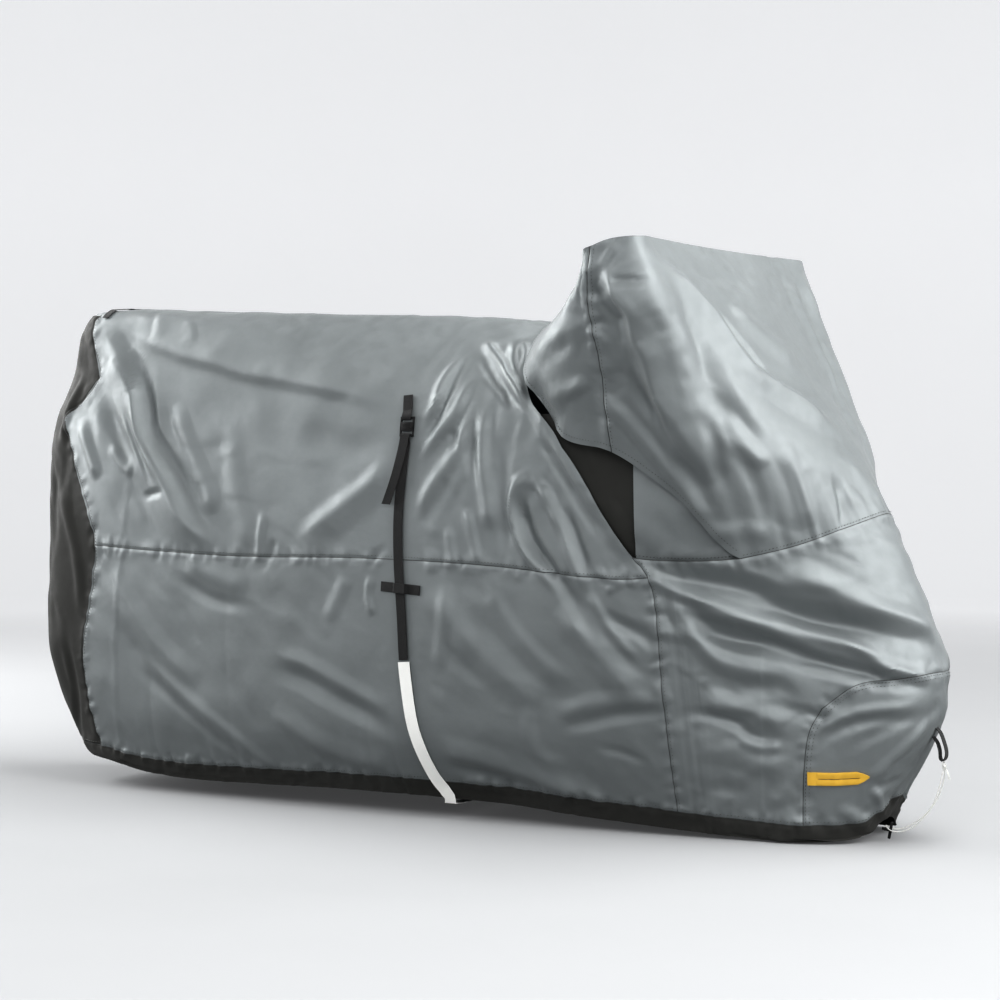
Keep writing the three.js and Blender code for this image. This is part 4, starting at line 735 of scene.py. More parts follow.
class Drape:
    """The draped cloth: both surfaces with their folds, pressed flat under the belt."""

    press_from = 24.0
    press_to = 80.0
    belt_middle = -70.0
    belt_reach = 260.0
    lean_out = 9.0
    turn_in = 24.0
    seam_ease = 1.2
    stern_fade = (1.7, 1.6)
    bow_fade = (9.4, 2.0)

    def __init__(self) -> None:
        """Traces every fold once."""
        dice = np.random.default_rng(7)
        self.body_field = CreaseField([fold.crease(BODY) for fold in BODY_FOLDS])
        self.hood_field = CreaseField([fold.crease(HOOD) for fold in HOOD_FOLDS])
        for patches, made, loft in ((BODY_CRUMPLES, self.body_field, BODY), (HOOD_CRUMPLES, self.hood_field, HOOD)):
            for patch in patches:
                made.creases += patch.creases(loft, dice)
        for seams, made, loft in ((BODY_SEAMS, self.body_field, BODY), (HOOD_SEAMS, self.hood_field, HOOD)):
            for seam in seams:
                for side in Side:
                    made.creases += seam.creases(loft, side, dice)
        self.waves = make_waves(seed=3, count=24, short=80, long=340, share=0.0085)
        u, v = path_through(BELT_LINE, 24).T
        self.belt_trace = BODY.point(u, v, Side.RIGHT)

    def belt_press(self, points: Array) -> Array:
        """Share of the folds that is left at points beside the belt."""
        flat = points.reshape(-1, 3)
        distance = np.full(len(flat), 1e4)
        near = np.flatnonzero((np.abs(flat[:, 0] - self.belt_middle) < self.belt_reach) & (flat[:, 1] < 0))
        for first in range(0, len(near), CHUNK):
            part = near[first:first + CHUNK]
            distance[part] = nearest_on_path(flat[part], self.belt_trace)[0]
        share = smooth((distance - self.press_from) / (self.press_to - self.press_from))
        return share.reshape(points.shape[:-1])

    def settle(self, u: Array, v: Array) -> Array:
        """Height by which the cloth leans out above the hem and turns in under it, on the long sides."""
        middle = 0.55 + 0.45 * smooth((u - 3) / 1.2) * smooth(7 - u)
        (stern, rise), (bow, fall) = self.stern_fade, self.bow_fade
        share = smooth((u - stern) / rise) * smooth((bow - u) / fall) * middle
        return share * (self.lean_out * np.exp(-((v - 5.42) / 0.3) ** 2) - self.turn_in * smooth((v - 5.52) / 0.75))

    def body(self, u: Array, v: Array, side: Side, lift: Array | float = 0.0) -> Draped:
        """Places of the draped body.

        Args:
            u: Stations.
            v: Levels.
            side: The side of the cover.
            lift: Height over the cloth.

        Returns:
            Points, outward normals and texture coordinates.
        """
        point, normal = BODY.point(u, v, side), BODY.normal(u, v, side)
        height = self.body_field.height(point, normal) + ripple(point, self.waves)
        height = height * self.belt_press(point) + self.settle(u, v)
        return point + normal * (height + lift)[..., None], normal, BODY.grain(u, v, side)

    def hood_drape(self, u: Array, v: Array, side: Side) -> Array:
        """Points of the hood before its edge is eased onto the front panel's seam."""
        point, normal = HOOD.point(u, v, side), HOOD.normal(u, v, side)
        height = self.hood_field.height(point, normal) + ripple(point, self.waves) * smooth(v / 0.5)
        return point + normal * height[..., None]

    def hood(self, u: Array, v: Array, side: Side) -> Draped:
        """Places of the draped hood, whose front edge follows the front panel's seam.

        Args:
            u: Stations.
            v: Levels.
            side: The side of the cover.

        Returns:
            Points, outward normals and texture coordinates.
        """
        point, normal = self.hood_drape(u, v, side), HOOD.normal(u, v, side)
        ease = smooth(u - HOOD_CORNER + 1) * smooth((v - HOOD_EDGE + self.seam_ease) / self.seam_ease)
        some = ease > 0
        if some.any():
            station, share = np.maximum(u[some], HOOD_CORNER), ease[some][:, None]
            edge = np.full(station.shape, float(HOOD_EDGE))
            seam, facing, _ = self.body(station - HOOD_CORNER + FORK_STATION, edge, side)
            point[some] += (seam - self.hood_drape(station, edge, side)) * share
            normal[some] = unit(normal[some] * (1 - share) + facing * share)
        ridge = v <= RIDGE
        normal[ridge] = unit(normal[ridge] + UP)
        return point, normal, HOOD.grain(u, v, side) + 3.0


def to_frame(points: Array) -> Array:
    """Points in metres in the frame of the solids, from millimetres above the floor."""
    return (points - np.array([0.0, 0.0, ORIGIN_HEIGHT])) / 1000


def mesh_object(name: str, points: Array, faces: list[list[int]], uv: Array | None = None) -> Piece:
    """A new smooth mesh object at the origin.

    Args:
        name: The piece's name.
        points: Points in millimetres above the floor.
        faces: Faces as point numbers, turned outwards.
        uv: Texture coordinates, one a point.

    Returns:
        The object, linked to the scene.
    """
    mesh = bpy.data.meshes.new(name)
    mesh.from_pydata(to_frame(points).tolist(), [], faces)
    if uv is not None:
        corners = np.empty(len(mesh.loops), int)
        mesh.loops.foreach_get("vertex_index", corners)
        mesh.uv_layers.new(name="grain").data.foreach_set("uv", uv[corners].astype(np.float32).ravel())
    mesh.validate()
    piece = bpy.data.objects.new(name, mesh)
    bpy.context.scene.collection.objects.link(piece)
    shade(piece, 42)
    return piece


def shade(piece: Piece, angle: float) -> None:
    """Shades a piece smooth, with edges sharper than the angle kept."""
    select_only(piece)
    bpy.ops.object.shade_smooth_by_angle(angle=math.radians(angle))


def select_only(*pieces: Piece) -> None:
    """Selects these pieces alone, the first one active."""
    bpy.ops.object.select_all(action="DESELECT")
    for piece in pieces:
        piece.select_set(True)
    bpy.context.view_layer.objects.active = pieces[0]


class ClothPanel:
    """A panel of cloth: welded blocks of places, thickened into a closed mesh.

    The inner layer has half of the outer one's cells, and lies further in away from the rim.
    """

    thick = 1.5
    slack = 2.2

    def __init__(self, name: str) -> None:
        """Starts an empty panel."""
        self.name = name
        self.blocks: list[Draped] = []

    def block(self, place: Draped) -> "ClothPanel":
        """Adds a grid of places with an even number of cells each way."""
        rows, columns = place[0].shape[:2]
        if rows % 2 == 0 or columns % 2 == 0:
            raise ValueError(f"{self.name}: a block has {rows} by {columns} places, and both have to be odd")
        self.blocks.append(place)
        return self

    def build(self) -> Piece:
        """Welds the blocks and makes the closed mesh."""
        points = np.concatenate([b[0].reshape(-1, 3) for b in self.blocks])
        normals = np.concatenate([b[1].reshape(-1, 3) for b in self.blocks])
        grain = np.concatenate([b[2].reshape(-1, 2) for b in self.blocks])
        keys, first, inverse = np.unique(np.round(points * 20).astype(np.int64), axis=0, return_index=True,
                                         return_inverse=True)
        inverse = inverse.reshape(-1)
        facing = np.zeros((len(keys), 3))
        np.add.at(facing, inverse, normals)
        points, grain, facing = points[first], grain[first], unit(facing)
        outer, coarse, middles, offset = [], [], {}, 0
        for block in self.blocks:
            rows, columns = block[0].shape[:2]
            grid = inverse[offset:offset + rows * columns].reshape(rows, columns)
            offset += rows * columns
            flip = self.is_inward(points, facing, grid)
            outer.append(self.cells(grid, flip))
            coarse.append(self.cells(grid[::2, ::2], flip))
            for line in (grid[0], grid[-1], grid[:, 0], grid[:, -1]):
                for a, m, b in zip(line[:-2:2], line[1::2], line[2::2]):
                    middles[(a, b)] = middles[(b, a)] = m
        outer, coarse = np.concatenate(outer), np.concatenate(coarse)
        edges = {(int(a), int(b)) for k in range(4) for a, b in zip(coarse[:, k], coarse[:, (k + 1) % 4]) if a != b}
        rim = [(a, b) for a, b in edges if (b, a) not in edges]
        used = np.unique(coarse)
        inner_of = np.full(len(points), -1)
        inner_of[used] = np.arange(len(used)) + len(points)
        on_rim = np.zeros(len(points), bool)
        on_rim[[a for a, _ in rim] + [b for _, b in rim]] = True
        depth = self.thick + np.where(on_rim[used], 0.0, self.slack)
        inner = points[used] - facing[used] * depth[:, None]
        faces = [drop_repeats(face) for face in outer.tolist()]
        faces += [drop_repeats(face[::-1]) for face in inner_of[coarse].tolist()]
        faces += [[b, int(middles[(a, b)]), a, int(inner_of[a]), int(inner_of[b])] for a, b in rim]
        faces = [face for face in faces if len(face) > 2]
        return mesh_object(self.name, np.concatenate([points, inner]), faces, np.concatenate([grain, grain[used]]))

    @staticmethod
    def cells(grid: Array, flip: bool) -> Array:
        """The cells of a grid as rows of four point numbers."""
        quads = np.stack([grid[:-1, :-1], grid[:-1, 1:], grid[1:, 1:], grid[1:, :-1]], axis=-1).reshape(-1, 4)
        return quads[:, ::-1] if flip else quads

    @staticmethod
    def is_inward(points: Array, facing: Array, grid: Array) -> bool:
        """Whether the cells of a grid face against the cloth's normals."""
        a, b, d = points[grid[:-1, :-1]], points[grid[:-1, 1:]], points[grid[1:, :-1]]
        return float((np.cross(b - a, d - a) * facing[grid[:-1, :-1]]).sum()) < 0


def both_sides(name: str, surface: Callable, *grids: Sequence[Array]) -> Piece:
    """A panel that lies on both sides of the cover.

    Args:
        name: The panel's name.
        surface: The drape's method for its surface.
        grids: Stations and levels of each block.

    Returns:
        The panel.
    """
    panel = ClothPanel(name)
    for side in Side:
        for grid in grids:
            panel.block(surface(*grid, side))
    return panel.build()


def drop_repeats(face: list[int]) -> list[int]:
    """A face without the corners that repeat the one before."""
    return [c for k, c in enumerate(face) if c != face[k - 1]]


def ticks(start: float, end: float, run: Array) -> Array:
    """Values from start to end with cells of nearly even length, an even number of them.

    Args:
        start: First station or level.
        end: Last station or level.
        run: Distance along the surface at each whole station or level, in metres.

    Returns:
        The values.
    """
    knots = [start, *range(math.floor(start) + 1, math.ceil(end)), end]
    made = [start]
    for a, b in zip(knots[:-1], knots[1:]):
        span = float(np.interp(b, np.arange(len(run)), run) - np.interp(a, np.arange(len(run)), run)) * 1000
        count = max(2, 2 * round(span / CELL / 2))
        made += [a + (b - a) * k / count for k in range(1, count + 1)]
    return np.array(made)


def hem_ticks(values: Array, first: bool = True, last: bool = True) -> Array:
    """Values with rows added close to the first and the last one, where a seam's groove needs them."""
    made, near = list(values), (0.22, 0.55)
    if first:
        made[1:1] = [values[0] + (values[1] - values[0]) * share for share in near]
    if last:
        made[-1:-1] = [values[-1] - (values[-1] - values[-2]) * share for share in reversed(near)]
    return np.array(made)


def rows_at(levels: Array, stations: Array | float) -> Array:
    """Places at levels with their stations."""
    return np.stack([np.broadcast_to(stations, levels.shape), levels], axis=-1)


def seam_at(seam: Knots, levels: Array, shift: float = 0.0) -> Array:
    """Places of a seam line at levels, all moved forward by a shift in stations."""
    line = np.array(seam)
    return rows_at(levels, np.interp(levels, line[:, 1], line[:, 0]) + shift)


def between(left: Array, right: Array, shares: Array) -> tuple[Array, Array]:
    """A grid of places between two lines, row by row.

    Args:
        left: Places of the left line.
        right: Places of the right line.
        shares: Shares of the way across, from 0 to 1.

    Returns:
        Stations and levels.
    """
    grid = left[:, None] + (right - left)[:, None] * shares[None, :, None]
    return grid[..., 0], grid[..., 1]


def four_sided(top: Array, bottom: Array, left: Array, right: Array) -> tuple[Array, Array]:
    """A grid of places between four lines, by transfinite interpolation.

    Args:
        top: Places of the first row.
        bottom: Places of the last row.
        left: Places of the first column.
        right: Places of the last column.

    Returns:
        Stations and levels.
    """
    s = (np.arange(len(left)) / (len(left) - 1))[:, None, None]
    t = (np.arange(len(top)) / (len(top) - 1))[None, :, None]
    grid = (1 - s) * top[None] + s * bottom[None] + (1 - t) * left[:, None] + t * right[:, None]
    grid = grid - (1 - s) * ((1 - t) * top[0] + t * top[-1]) - s * ((1 - t) * bottom[0] + t * bottom[-1])
    return grid[..., 0], grid[..., 1]


def shares_of(values: Array) -> Array:
    """Values as shares of the way from the first to the last."""
    return (values - values[0]) / (values[-1] - values[0])


def dress(piece: Piece, slot: Slot, material: bpy.types.Material, *nodes: str) -> Piece:
    """Gives a piece its finish, hangs it under the root, and hides the solids that it stands for.

    Args:
        piece: The piece.
        slot: The record's material slot; not used.
        material: The finish.
        nodes: The solids that the piece replaces.

    Returns:
        The same piece.
    """
    piece.data.materials.clear()
    piece.data.materials.append(material)
    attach(piece, "root")
    if nodes:
        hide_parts(*nodes)
    LOG.info("%s: %d faces", piece.name, len(piece.data.polygons))
    return piece


class Wiring:
    """A material while its nodes are wired."""

    def __init__(self, name: str) -> None:
        """Makes an empty material with a principled shader."""
        self.material = bpy.data.materials.new(name)
        self.material.use_nodes = True
        self.tree = self.material.node_tree
        self.tree.nodes.clear()
        self.shader = self.node("ShaderNodeBsdfPrincipled")
        out = self.node("ShaderNodeOutputMaterial")
        self.link(self.shader.outputs["BSDF"], out.inputs["Surface"])

    def node(self, kind: str, values: dict | None = None, **settings: object) -> bpy.types.Node:
        """Adds a node.

        Args:
            kind: The node's type.
            values: Socket values by name.
            settings: Properties of the node.

        Returns:
            The node.
        """
        made = self.tree.nodes.new(kind)
        for name, value in settings.items():
            setattr(made, name, value)
        for name, value in (values or {}).items():
            made.inputs[name].default_value = value
        return made

    def link(self, source: Socket, target: Socket) -> None:
        """Joins two sockets."""
        self.tree.links.new(source, target)

    def feed(self, name: str, source: Socket) -> None:
        """Joins a socket to an input of the shader."""
        self.link(source, self.shader.inputs[name])

    def place(self, output: str, turn: float = 0.0) -> Socket:
        """Texture coordinates of the piece, turned."""
        coordinate = self.node("ShaderNodeTexCoord")
        mapping = self.node("ShaderNodeMapping", {"Rotation": (0, 0, turn)})
        self.link(coordinate.outputs[output], mapping.inputs["Vector"])
        return mapping.outputs["Vector"]

    def noise(self, where: Socket, scale: float, detail: float = 3.0,
              kind: str = "FBM") -> Socket:
        """A noise value."""
        made = self.node("ShaderNodeTexNoise", {"Scale": scale, "Detail": detail}, noise_type=kind)
        self.link(where, made.inputs["Vector"])
        return made.outputs["Fac"]

    def wave(self, where: Socket, scale: float, direction: str) -> Socket:
        """A row of threads."""
        made = self.node("ShaderNodeTexWave", {"Scale": scale}, bands_direction=direction)
        self.link(where, made.inputs["Vector"])
        return made.outputs["Fac"]

    def math(self, operation: str, first: object, second: object) -> Socket:
        """A sum, product or other result of two sockets or numbers."""
        made = self.node("ShaderNodeMath", operation=operation)
        for k, value in enumerate((first, second)):
            if isinstance(value, Socket):
                self.link(value, made.inputs[k])
            else:
                made.inputs[k].default_value = value
        return made.outputs[0]

    def ramp(self, value: Socket, low: float, high: float, start: float,
             end: float) -> Socket:
        """A value turned from low..high into start..end."""
        made = self.node("ShaderNodeMapRange", {"From Min": low, "From Max": high, "To Min": start, "To Max": end})
        self.link(value, made.inputs["Value"])
        return made.outputs["Result"]

    def blend(self, share: Socket, first: Colour, second: Colour) -> Socket:
        """A colour between two, by a share."""
        made = self.node("ShaderNodeMix", data_type="RGBA")
        self.link(share, made.inputs["Factor"])
        colour_a, colour_b, result = 6, 7, 2
        made.inputs[colour_a].default_value = (*first, 1)
        made.inputs[colour_b].default_value = (*second, 1)
        return made.outputs[result]

    def bumps(self, layers: Sequence[tuple[Socket, float]]) -> None:
        """Relief from layers of height and depth in metres."""
        below = None
        for height, depth in layers:
            bump = self.node("ShaderNodeBump", {"Strength": 1.0, "Distance": depth})
            self.link(height, bump.inputs["Height"])
            if below is not None:
                self.link(below.outputs["Normal"], bump.inputs["Normal"])
            below = bump
        self.feed("Normal", below.outputs["Normal"])

    def set(self, **values: object) -> None:
        """Sets the shader's own sockets, with _ for a space in their names."""
        for name, value in values.items():
            self.shader.inputs[name.replace("_", " ")].default_value = value


@dataclass(frozen=True)
class CoatedCloth:
    """Coated taffeta: a fine weave under a satin coat, with soft crumples."""

    name: str
    colour: Colour
    dark: Colour
    roughness: Place
    metallic: float = 0.0
    specular: float = 0.5
    crumple: float = 0.0016

    def build(self) -> bpy.types.Material:
        """The finish as a material."""
        w = Wiring(self.name)
        where = w.place("Object")
        cloth = w.place("UV")
        wide = w.noise(where, 3.2, 4)
        fine = w.noise(where, 38, 4)
        ridges = w.noise(where, 11, 3, "RIDGED_MULTIFRACTAL")
        threads = w.math("MULTIPLY", w.wave(cloth, 190, "X"), w.wave(cloth, 190, "Y"))
        tone = w.math("ADD", w.ramp(wide, 0.3, 0.7, -0.15, 0.55), w.ramp(threads, 0, 1, 0.0, 0.25))
        w.feed("Base Color", w.blend(tone, self.dark, self.colour))
        w.feed("Roughness", w.ramp(fine, 0.3, 0.7, *self.roughness))
        w.bumps([(ridges, self.crumple), (fine, 0.0006), (threads, 0.00005)])
        w.set(Metallic=self.metallic, Specular_IOR_Level=self.specular, Sheen_Weight=0.06)
        return w.material


@dataclass(frozen=True)
class WovenWebbing:
    """Flat webbing: ribs across its length with a fine chevron."""

    name: str
    colour: Colour
    light: Colour
    rib: float = 260.0

    def build(self) -> bpy.types.Material:
        """The finish as a material."""
        w = Wiring(self.name)
        cloth = w.place("UV")
        where = w.place("Object")
        ribs = w.wave(cloth, self.rib, "Y")
        threads = w.wave(w.place("UV", 0.7), self.rib * 1.6, "X")
        weave = w.math("MULTIPLY", ribs, w.ramp(threads, 0, 1, 0.5, 1))
        tone = w.math("MULTIPLY", weave, w.ramp(w.noise(where, 60), 0.3, 0.7, 0.6, 1.0))
        w.feed("Base Color", w.blend(tone, self.colour, self.light))
        w.bumps([(weave, 0.00035), (w.noise(where, 240), 0.0002)])
        w.set(Roughness=0.7, Sheen_Weight=0.15)
        return w.material


@dataclass(frozen=True)
class MouldedPlastic:
    """Moulded plastic with a fine grain."""

    name: str
    colour: Colour
    light: Colour

    def build(self) -> bpy.types.Material:
        """The finish as a material."""
        w = Wiring(self.name)
        where = w.place("Object")
        grain = w.noise(where, 900, 2)
        w.feed("Base Color", w.blend(w.ramp(w.noise(where, 40), 0.3, 0.7, 0, 1), self.colour, self.light))
        w.feed("Roughness", w.ramp(grain, 0.3, 0.7, 0.34, 0.48))
        w.bumps([(grain, 0.00006)])
        return w.material


@dataclass(frozen=True)
class BraidedCord:
    """Braided cord: crossed yarns that follow the cord."""

    name: str
    colour: Colour
    dark: Colour

    def build(self) -> bpy.types.Material:
        """The finish as a material."""
        w = Wiring(self.name)
        one = w.wave(w.place("UV", 0.7), 260, "X")
        two = w.wave(w.place("UV", -0.7), 260, "X")
        braid = w.math("MAXIMUM", one, two)
        w.feed("Base Color", w.blend(braid, self.dark, self.colour))
        w.bumps([(braid, 0.00025)])
        w.set(Roughness=0.55, Sheen_Weight=0.1)
        return w.material


class Wardrobe:
    """All the finishes, each made once."""

    def __init__(self) -> None:
        """Builds the materials."""
        self.grey = CoatedCloth("grey_cloth", (0.268, 0.287, 0.291), (0.222, 0.239, 0.242), (0.45, 0.57),
                                metallic=0.44).build()
        self.black = CoatedCloth("black_cloth", (0.055, 0.055, 0.052), (0.038, 0.038, 0.035), (0.56, 0.68),
                                 specular=0.16).build()
        self.yellow = CoatedCloth("yellow_cloth", (0.66, 0.42, 0.065), (0.55, 0.33, 0.045), (0.5, 0.6),
                                  specular=0.35, crumple=0.0004).build()
        self.webbing = WovenWebbing("black_webbing", (0.006, 0.006, 0.006), (0.02, 0.02, 0.02)).build()
        self.sleeve = WovenWebbing("white_webbing", (0.84, 0.84, 0.81), (0.95, 0.95, 0.92)).build()
        self.plastic = MouldedPlastic("black_plastic", (0.01, 0.01, 0.01), (0.016, 0.016, 0.016)).build()
        self.cord = BraidedCord("white_cord", (0.82, 0.82, 0.79), (0.5, 0.5, 0.47)).build()
        # Grey thread, made much darker than the cloth so that it also paints the shade of the needle holes; the seams'
        # painted shadow lines use it too
        self.dark_thread_and_shade = MouldedPlastic("dark_thread_and_seam_shade", (0.045, 0.048, 0.047), (0.08, 0.084, 0.083)).build()


@dataclass
class BodyShell:
    """The panels of the body, from the stern to the bow and down to the hem."""

    drape: Drape
    wardrobe: Wardrobe

    def columns(self, start: float, end: float) -> Array:
        """Station ticks of the body."""
        return ticks(start, end, BODY.reach_u)

    def levels(self, start: float, end: float) -> Array:
        """Level ticks of the body."""
        return ticks(start, end, BODY.reach_v)

    def build(self) -> None:
        """Makes and dresses every panel."""
        grey, black = self.wardrobe.grey, self.wardrobe.black
        upper = dress(self.upper_body(), Slot.GREY_CLOTH, grey, "upper_body")
        rear = dress(self.rear_panel(), Slot.BLACK_CLOTH, black, "rear_panel")
        for side in Side:
            lower = dress(self.lower_panel(side), Slot.GREY_CLOTH, grey, f"lower_panel_{side.hand}")
        front = dress(self.front_panel(), Slot.GREY_CLOTH, grey, "front_panel")
        wheel = dress(self.wheel_panel(), Slot.GREY_CLOTH, grey, "wheel_panel")
        band = dress(self.hem_band(), Slot.BLACK_CLOTH, black, "hem_band")

    def upper_body(self) -> Piece:
        """Over the top from waist to waist, and back over the tail."""
        bends = [CROWN, RIM, LIP[-2][1], LIP[-1][1], WAIST]
        levels = [self.levels(a, b)[1:] for a, b in zip(bends[:-1], bends[1:])]
        levels = hem_ticks(np.concatenate([[float(CROWN)], *levels]), first=False)
        right = seam_at(LIP + [(FRONT_STATION, WAIST)], levels)
        shares = hem_ticks(shares_of(self.columns(TAIL_STATION, FRONT_STATION)))
        tail_levels = levels[levels <= RIM + 1e-9]
        tail = between(rows_at(tail_levels, 0.0), rows_at(tail_levels, float(TAIL_STATION)),
                       shares_of(self.columns(0, TAIL_STATION)))
        return both_sides("upper_body_cloth", self.drape.body, between(seam_at(TAIL_SEAM, levels), right, shares), tail)

    def rear_panel(self) -> Piece:
        """Black panel around the stern, from the rim to the hem band."""
        levels = hem_ticks(np.concatenate([self.levels(RIM, WAIST), self.levels(WAIST, BAND)[1:]]))
        shares = hem_ticks(shares_of(self.columns(0, TAIL_STATION)), first=False)
        grid = between(rows_at(levels, 0.0), seam_at(TAIL_SEAM, levels), shares)
        return both_sides("rear_panel_cloth", self.drape.body, grid)

    def lower_panel(self, side: Side) -> Piece:
        """Lower side panel, from the tail seam to the front seam."""
        levels = hem_ticks(self.levels(WAIST, BAND))
        shares = hem_ticks(shares_of(self.columns(TAIL_STATION, FRONT_STATION)))
        grid = between(seam_at(TAIL_SEAM, levels), rows_at(levels, float(FRONT_STATION)), shares)
        return ClothPanel(f"lower_panel_{side.hand}_cloth").block(self.drape.body(*grid, side)).build()

    def wheel_lines(self) -> dict[str, Array]:
        """Lines that the front panel shares with the wheel panel, the hood and the hem band."""
        count = 1 if COARSE else 3
        rise = np.linspace(0, 1, 20 * count + 1)[:, None]
        side = path_through(WHEEL_SEAM_SIDE, 16 * count)
        top = path_through(WHEEL_SEAM_TOP, 22 * count)
        hood = np.concatenate([path_through(HOOD_SEAM, 36 * count),
                               self.along(WAIST, FORK_STATION, WHEEL_STATION, 10 * count + 1)[1:]])
        foot = side[-1][0]
        return {
            "side": side, "top": top, "hood": hood,
            "rise": np.array([[WHEEL_STATION, WAIST]]) + (np.array([WHEEL_CORNER]) - (WHEEL_STATION, WAIST)) * rise,
            "front_foot": self.along(BAND, FRONT_STATION, foot, len(hood)),
            "bow_foot": self.along(BAND, foot, BOW, len(top)),
            "above": self.along(WAIST, WHEEL_STATION, BOW, len(top)),
            "bow_rise": rows_at(WAIST + (top[-1][1] - WAIST) * rise[:, 0], float(BOW)),
            "bow": rows_at(np.linspace(top[-1][1], BAND, len(side)), float(BOW)),
        }

    @staticmethod
    def along(level: int, start: float, end: float, count: int) -> Array:
        """Evenly spaced places along a level."""
        return rows_at(np.full(count, float(level)), np.linspace(start, end, count))

    def front_panel(self) -> Piece:
        """Around the bow between the front seams, above and behind the wheel panel."""
        lines = self.wheel_lines()
        right = np.concatenate([lines["rise"], lines["side"][1:]])
        left = seam_at(FRONT_SEAM, np.linspace(FRONT_SEAM[0][1], BAND, len(right)))
        return both_sides("front_panel_cloth", self.drape.body,
                          four_sided(lines["hood"], lines["front_foot"], left, right),
                          four_sided(lines["above"], lines["top"], lines["rise"], lines["bow_rise"]))

    def wheel_panel(self) -> Piece:
        """Around the bow below the curved seam."""
        lines = self.wheel_lines()
        return both_sides("wheel_panel_cloth", self.drape.body,
                          four_sided(lines["top"], lines["bow_foot"], lines["side"], lines["bow"]))

    def hem_band(self) -> Piece:
        """Black band along the hem, all the way around."""
        lines = self.wheel_lines()
        stations = np.concatenate([self.columns(0, FRONT_STATION), lines["front_foot"][1:, 0],
                                   lines["bow_foot"][1:, 0]])
        levels = hem_ticks(np.linspace(BAND, HEM, 5 if COARSE else 7))
        return both_sides("hem_band_cloth", self.drape.body, np.meshgrid(stations, levels))


@dataclass
class HoodShell:
    """The two pieces of the hood."""

    drape: Drape
    wardrobe: Wardrobe
    top_crown: float = 7.0
    rear_cells: tuple[int, ...] = (42, 34, 8, 14)
    front_cells: tuple[int, ...] = (24, 18, 20, 26, 30)

    def stations(self, start: int, cells: Sequence[int]) -> Array:
        """Station ticks of the hood from a start, with the given cells in each interval."""
        scale = 2 if COARSE else 1
        made = [float(start)]
        for k, count in enumerate(cells):
            count = max(2, 2 * (count // (2 * scale)))
            made += [start + k + c / count for c in range(1, count + 1)]
        return np.array(made)

    def build(self) -> None:
        """Makes and dresses both pieces."""
        rear = dress(self.rear(), Slot.GREY_CLOTH, self.wardrobe.grey, "hood_rear")
        front = dress(self.front(), Slot.GREY_CLOTH, self.wardrobe.grey, "hood_front")

    def rear(self) -> Piece:
        """Rear of the hood, between its two upright seams."""
        stations = hem_ticks(self.stations(0, self.rear_cells), first=False)
        levels = hem_ticks(ticks(RIDGE, HOOD_EDGE, HOOD.reach_v))
        return both_sides("hood_rear_cloth", self.drape.hood, np.meshgrid(stations, levels))

    def front(self) -> Piece:
        """Front of the hood, with the flat top between the rear and front ridges."""
        panel = ClothPanel("hood_front_cloth")
        levels = hem_ticks(ticks(RIDGE, HOOD_EDGE, HOOD.reach_v))
        stations = hem_ticks(self.stations(HOOD_SEAM_STATION, self.front_cells), last=False)
        rear = self.stations(0, self.rear_cells[:2])
        fore = self.stations(HOOD_CORNER, self.front_cells[2:])[::-1]
        end = self.stations(HOOD_REAR_CORNER, self.rear_cells[2:] + self.front_cells[:2])
        shares = np.linspace(0, 1, len(end))[:, None]
        for side in Side:
            panel.block(self.drape.hood(*np.meshgrid(stations, levels), side))
            back, front, last = (self.ridge(some, side) for some in (rear, fore, end))
            points = back[0][:, None] + (front[0] - back[0])[:, None] * shares[None]
            points = points + UP * (self.top_crown * np.sin(math.pi * shares))[None]
            points[-1] = last[0]
            normals = np.broadcast_to(UP, points.shape).copy()
            normals[:, 0], normals[:, -1], normals[-1] = back[1], front[1], last[1]
            panel.block((points, normals, points[..., :2] / 1000))
        return panel.build()

    def ridge(self, stations: Array, side: Side) -> Draped:
        """Places of the hood's ridge."""
        return self.drape.hood(stations, np.zeros(len(stations)), side)


@dataclass
class VentSet:
    """The set-back panels under the flap of the hood, on both sides."""

    drape: Drape
    wardrobe: Wardrobe
    vent_lift: float = -9.5
    corner_lift: float = -4.5
    foot_lift: float = -9.0
    behind: float = 0.06
    rows: int = 33
    columns: int = 23

    def build(self) -> None:
        """Makes and dresses the window and the corner of each side."""
        for side in Side:
            vent = dress(self.window(side), Slot.BLACK_CLOTH, self.wardrobe.black, f"vent_window_{side.hand}")
            corner = dress(self.corner(side), Slot.GREY_CLOTH, self.wardrobe.grey, f"corner_panel_{side.hand}")

    def window(self, side: Side) -> Piece:
        """Black vent window."""
        levels = np.linspace(2.55, 3.93, self.rows)
        left, right = seam_at(LIP, levels, -self.behind), seam_at(VENT_EDGE, levels, self.behind)
        return self.set_back(f"vent_window_{side.hand}_cloth", side, left, right, self.vent_lift)

    def corner(self, side: Side) -> Piece:
        """Grey three-cornered panel between the window and the flap."""
        levels = np.linspace(2.75, 4, self.rows)
        left, right = seam_at(VENT_EDGE, levels), seam_at(CORNER_EDGE, levels)
        return self.set_back(f"corner_panel_{side.hand}_cloth", side, left, right, self.corner_lift)

    def set_back(self, name: str, side: Side, left: Array, right: Array, lift: float) -> Piece:
        """A panel set back from the cloth, and further back towards its foot.

        Args:
            name: Its name.
            side: The side of the cover.
            left: Places of its rear edge.
            right: Places of its front edge.
            lift: Its height over the cloth, less than nothing where it lies deeper.

        Returns:
            The panel.
        """
        u, v = between(left, right, np.linspace(0, 1, self.columns))
        lifts = lift + self.foot_lift * smooth((v - 3.45) / 0.4)
        return ClothPanel(name).block(self.drape.body(u, v, side, lifts)).build()


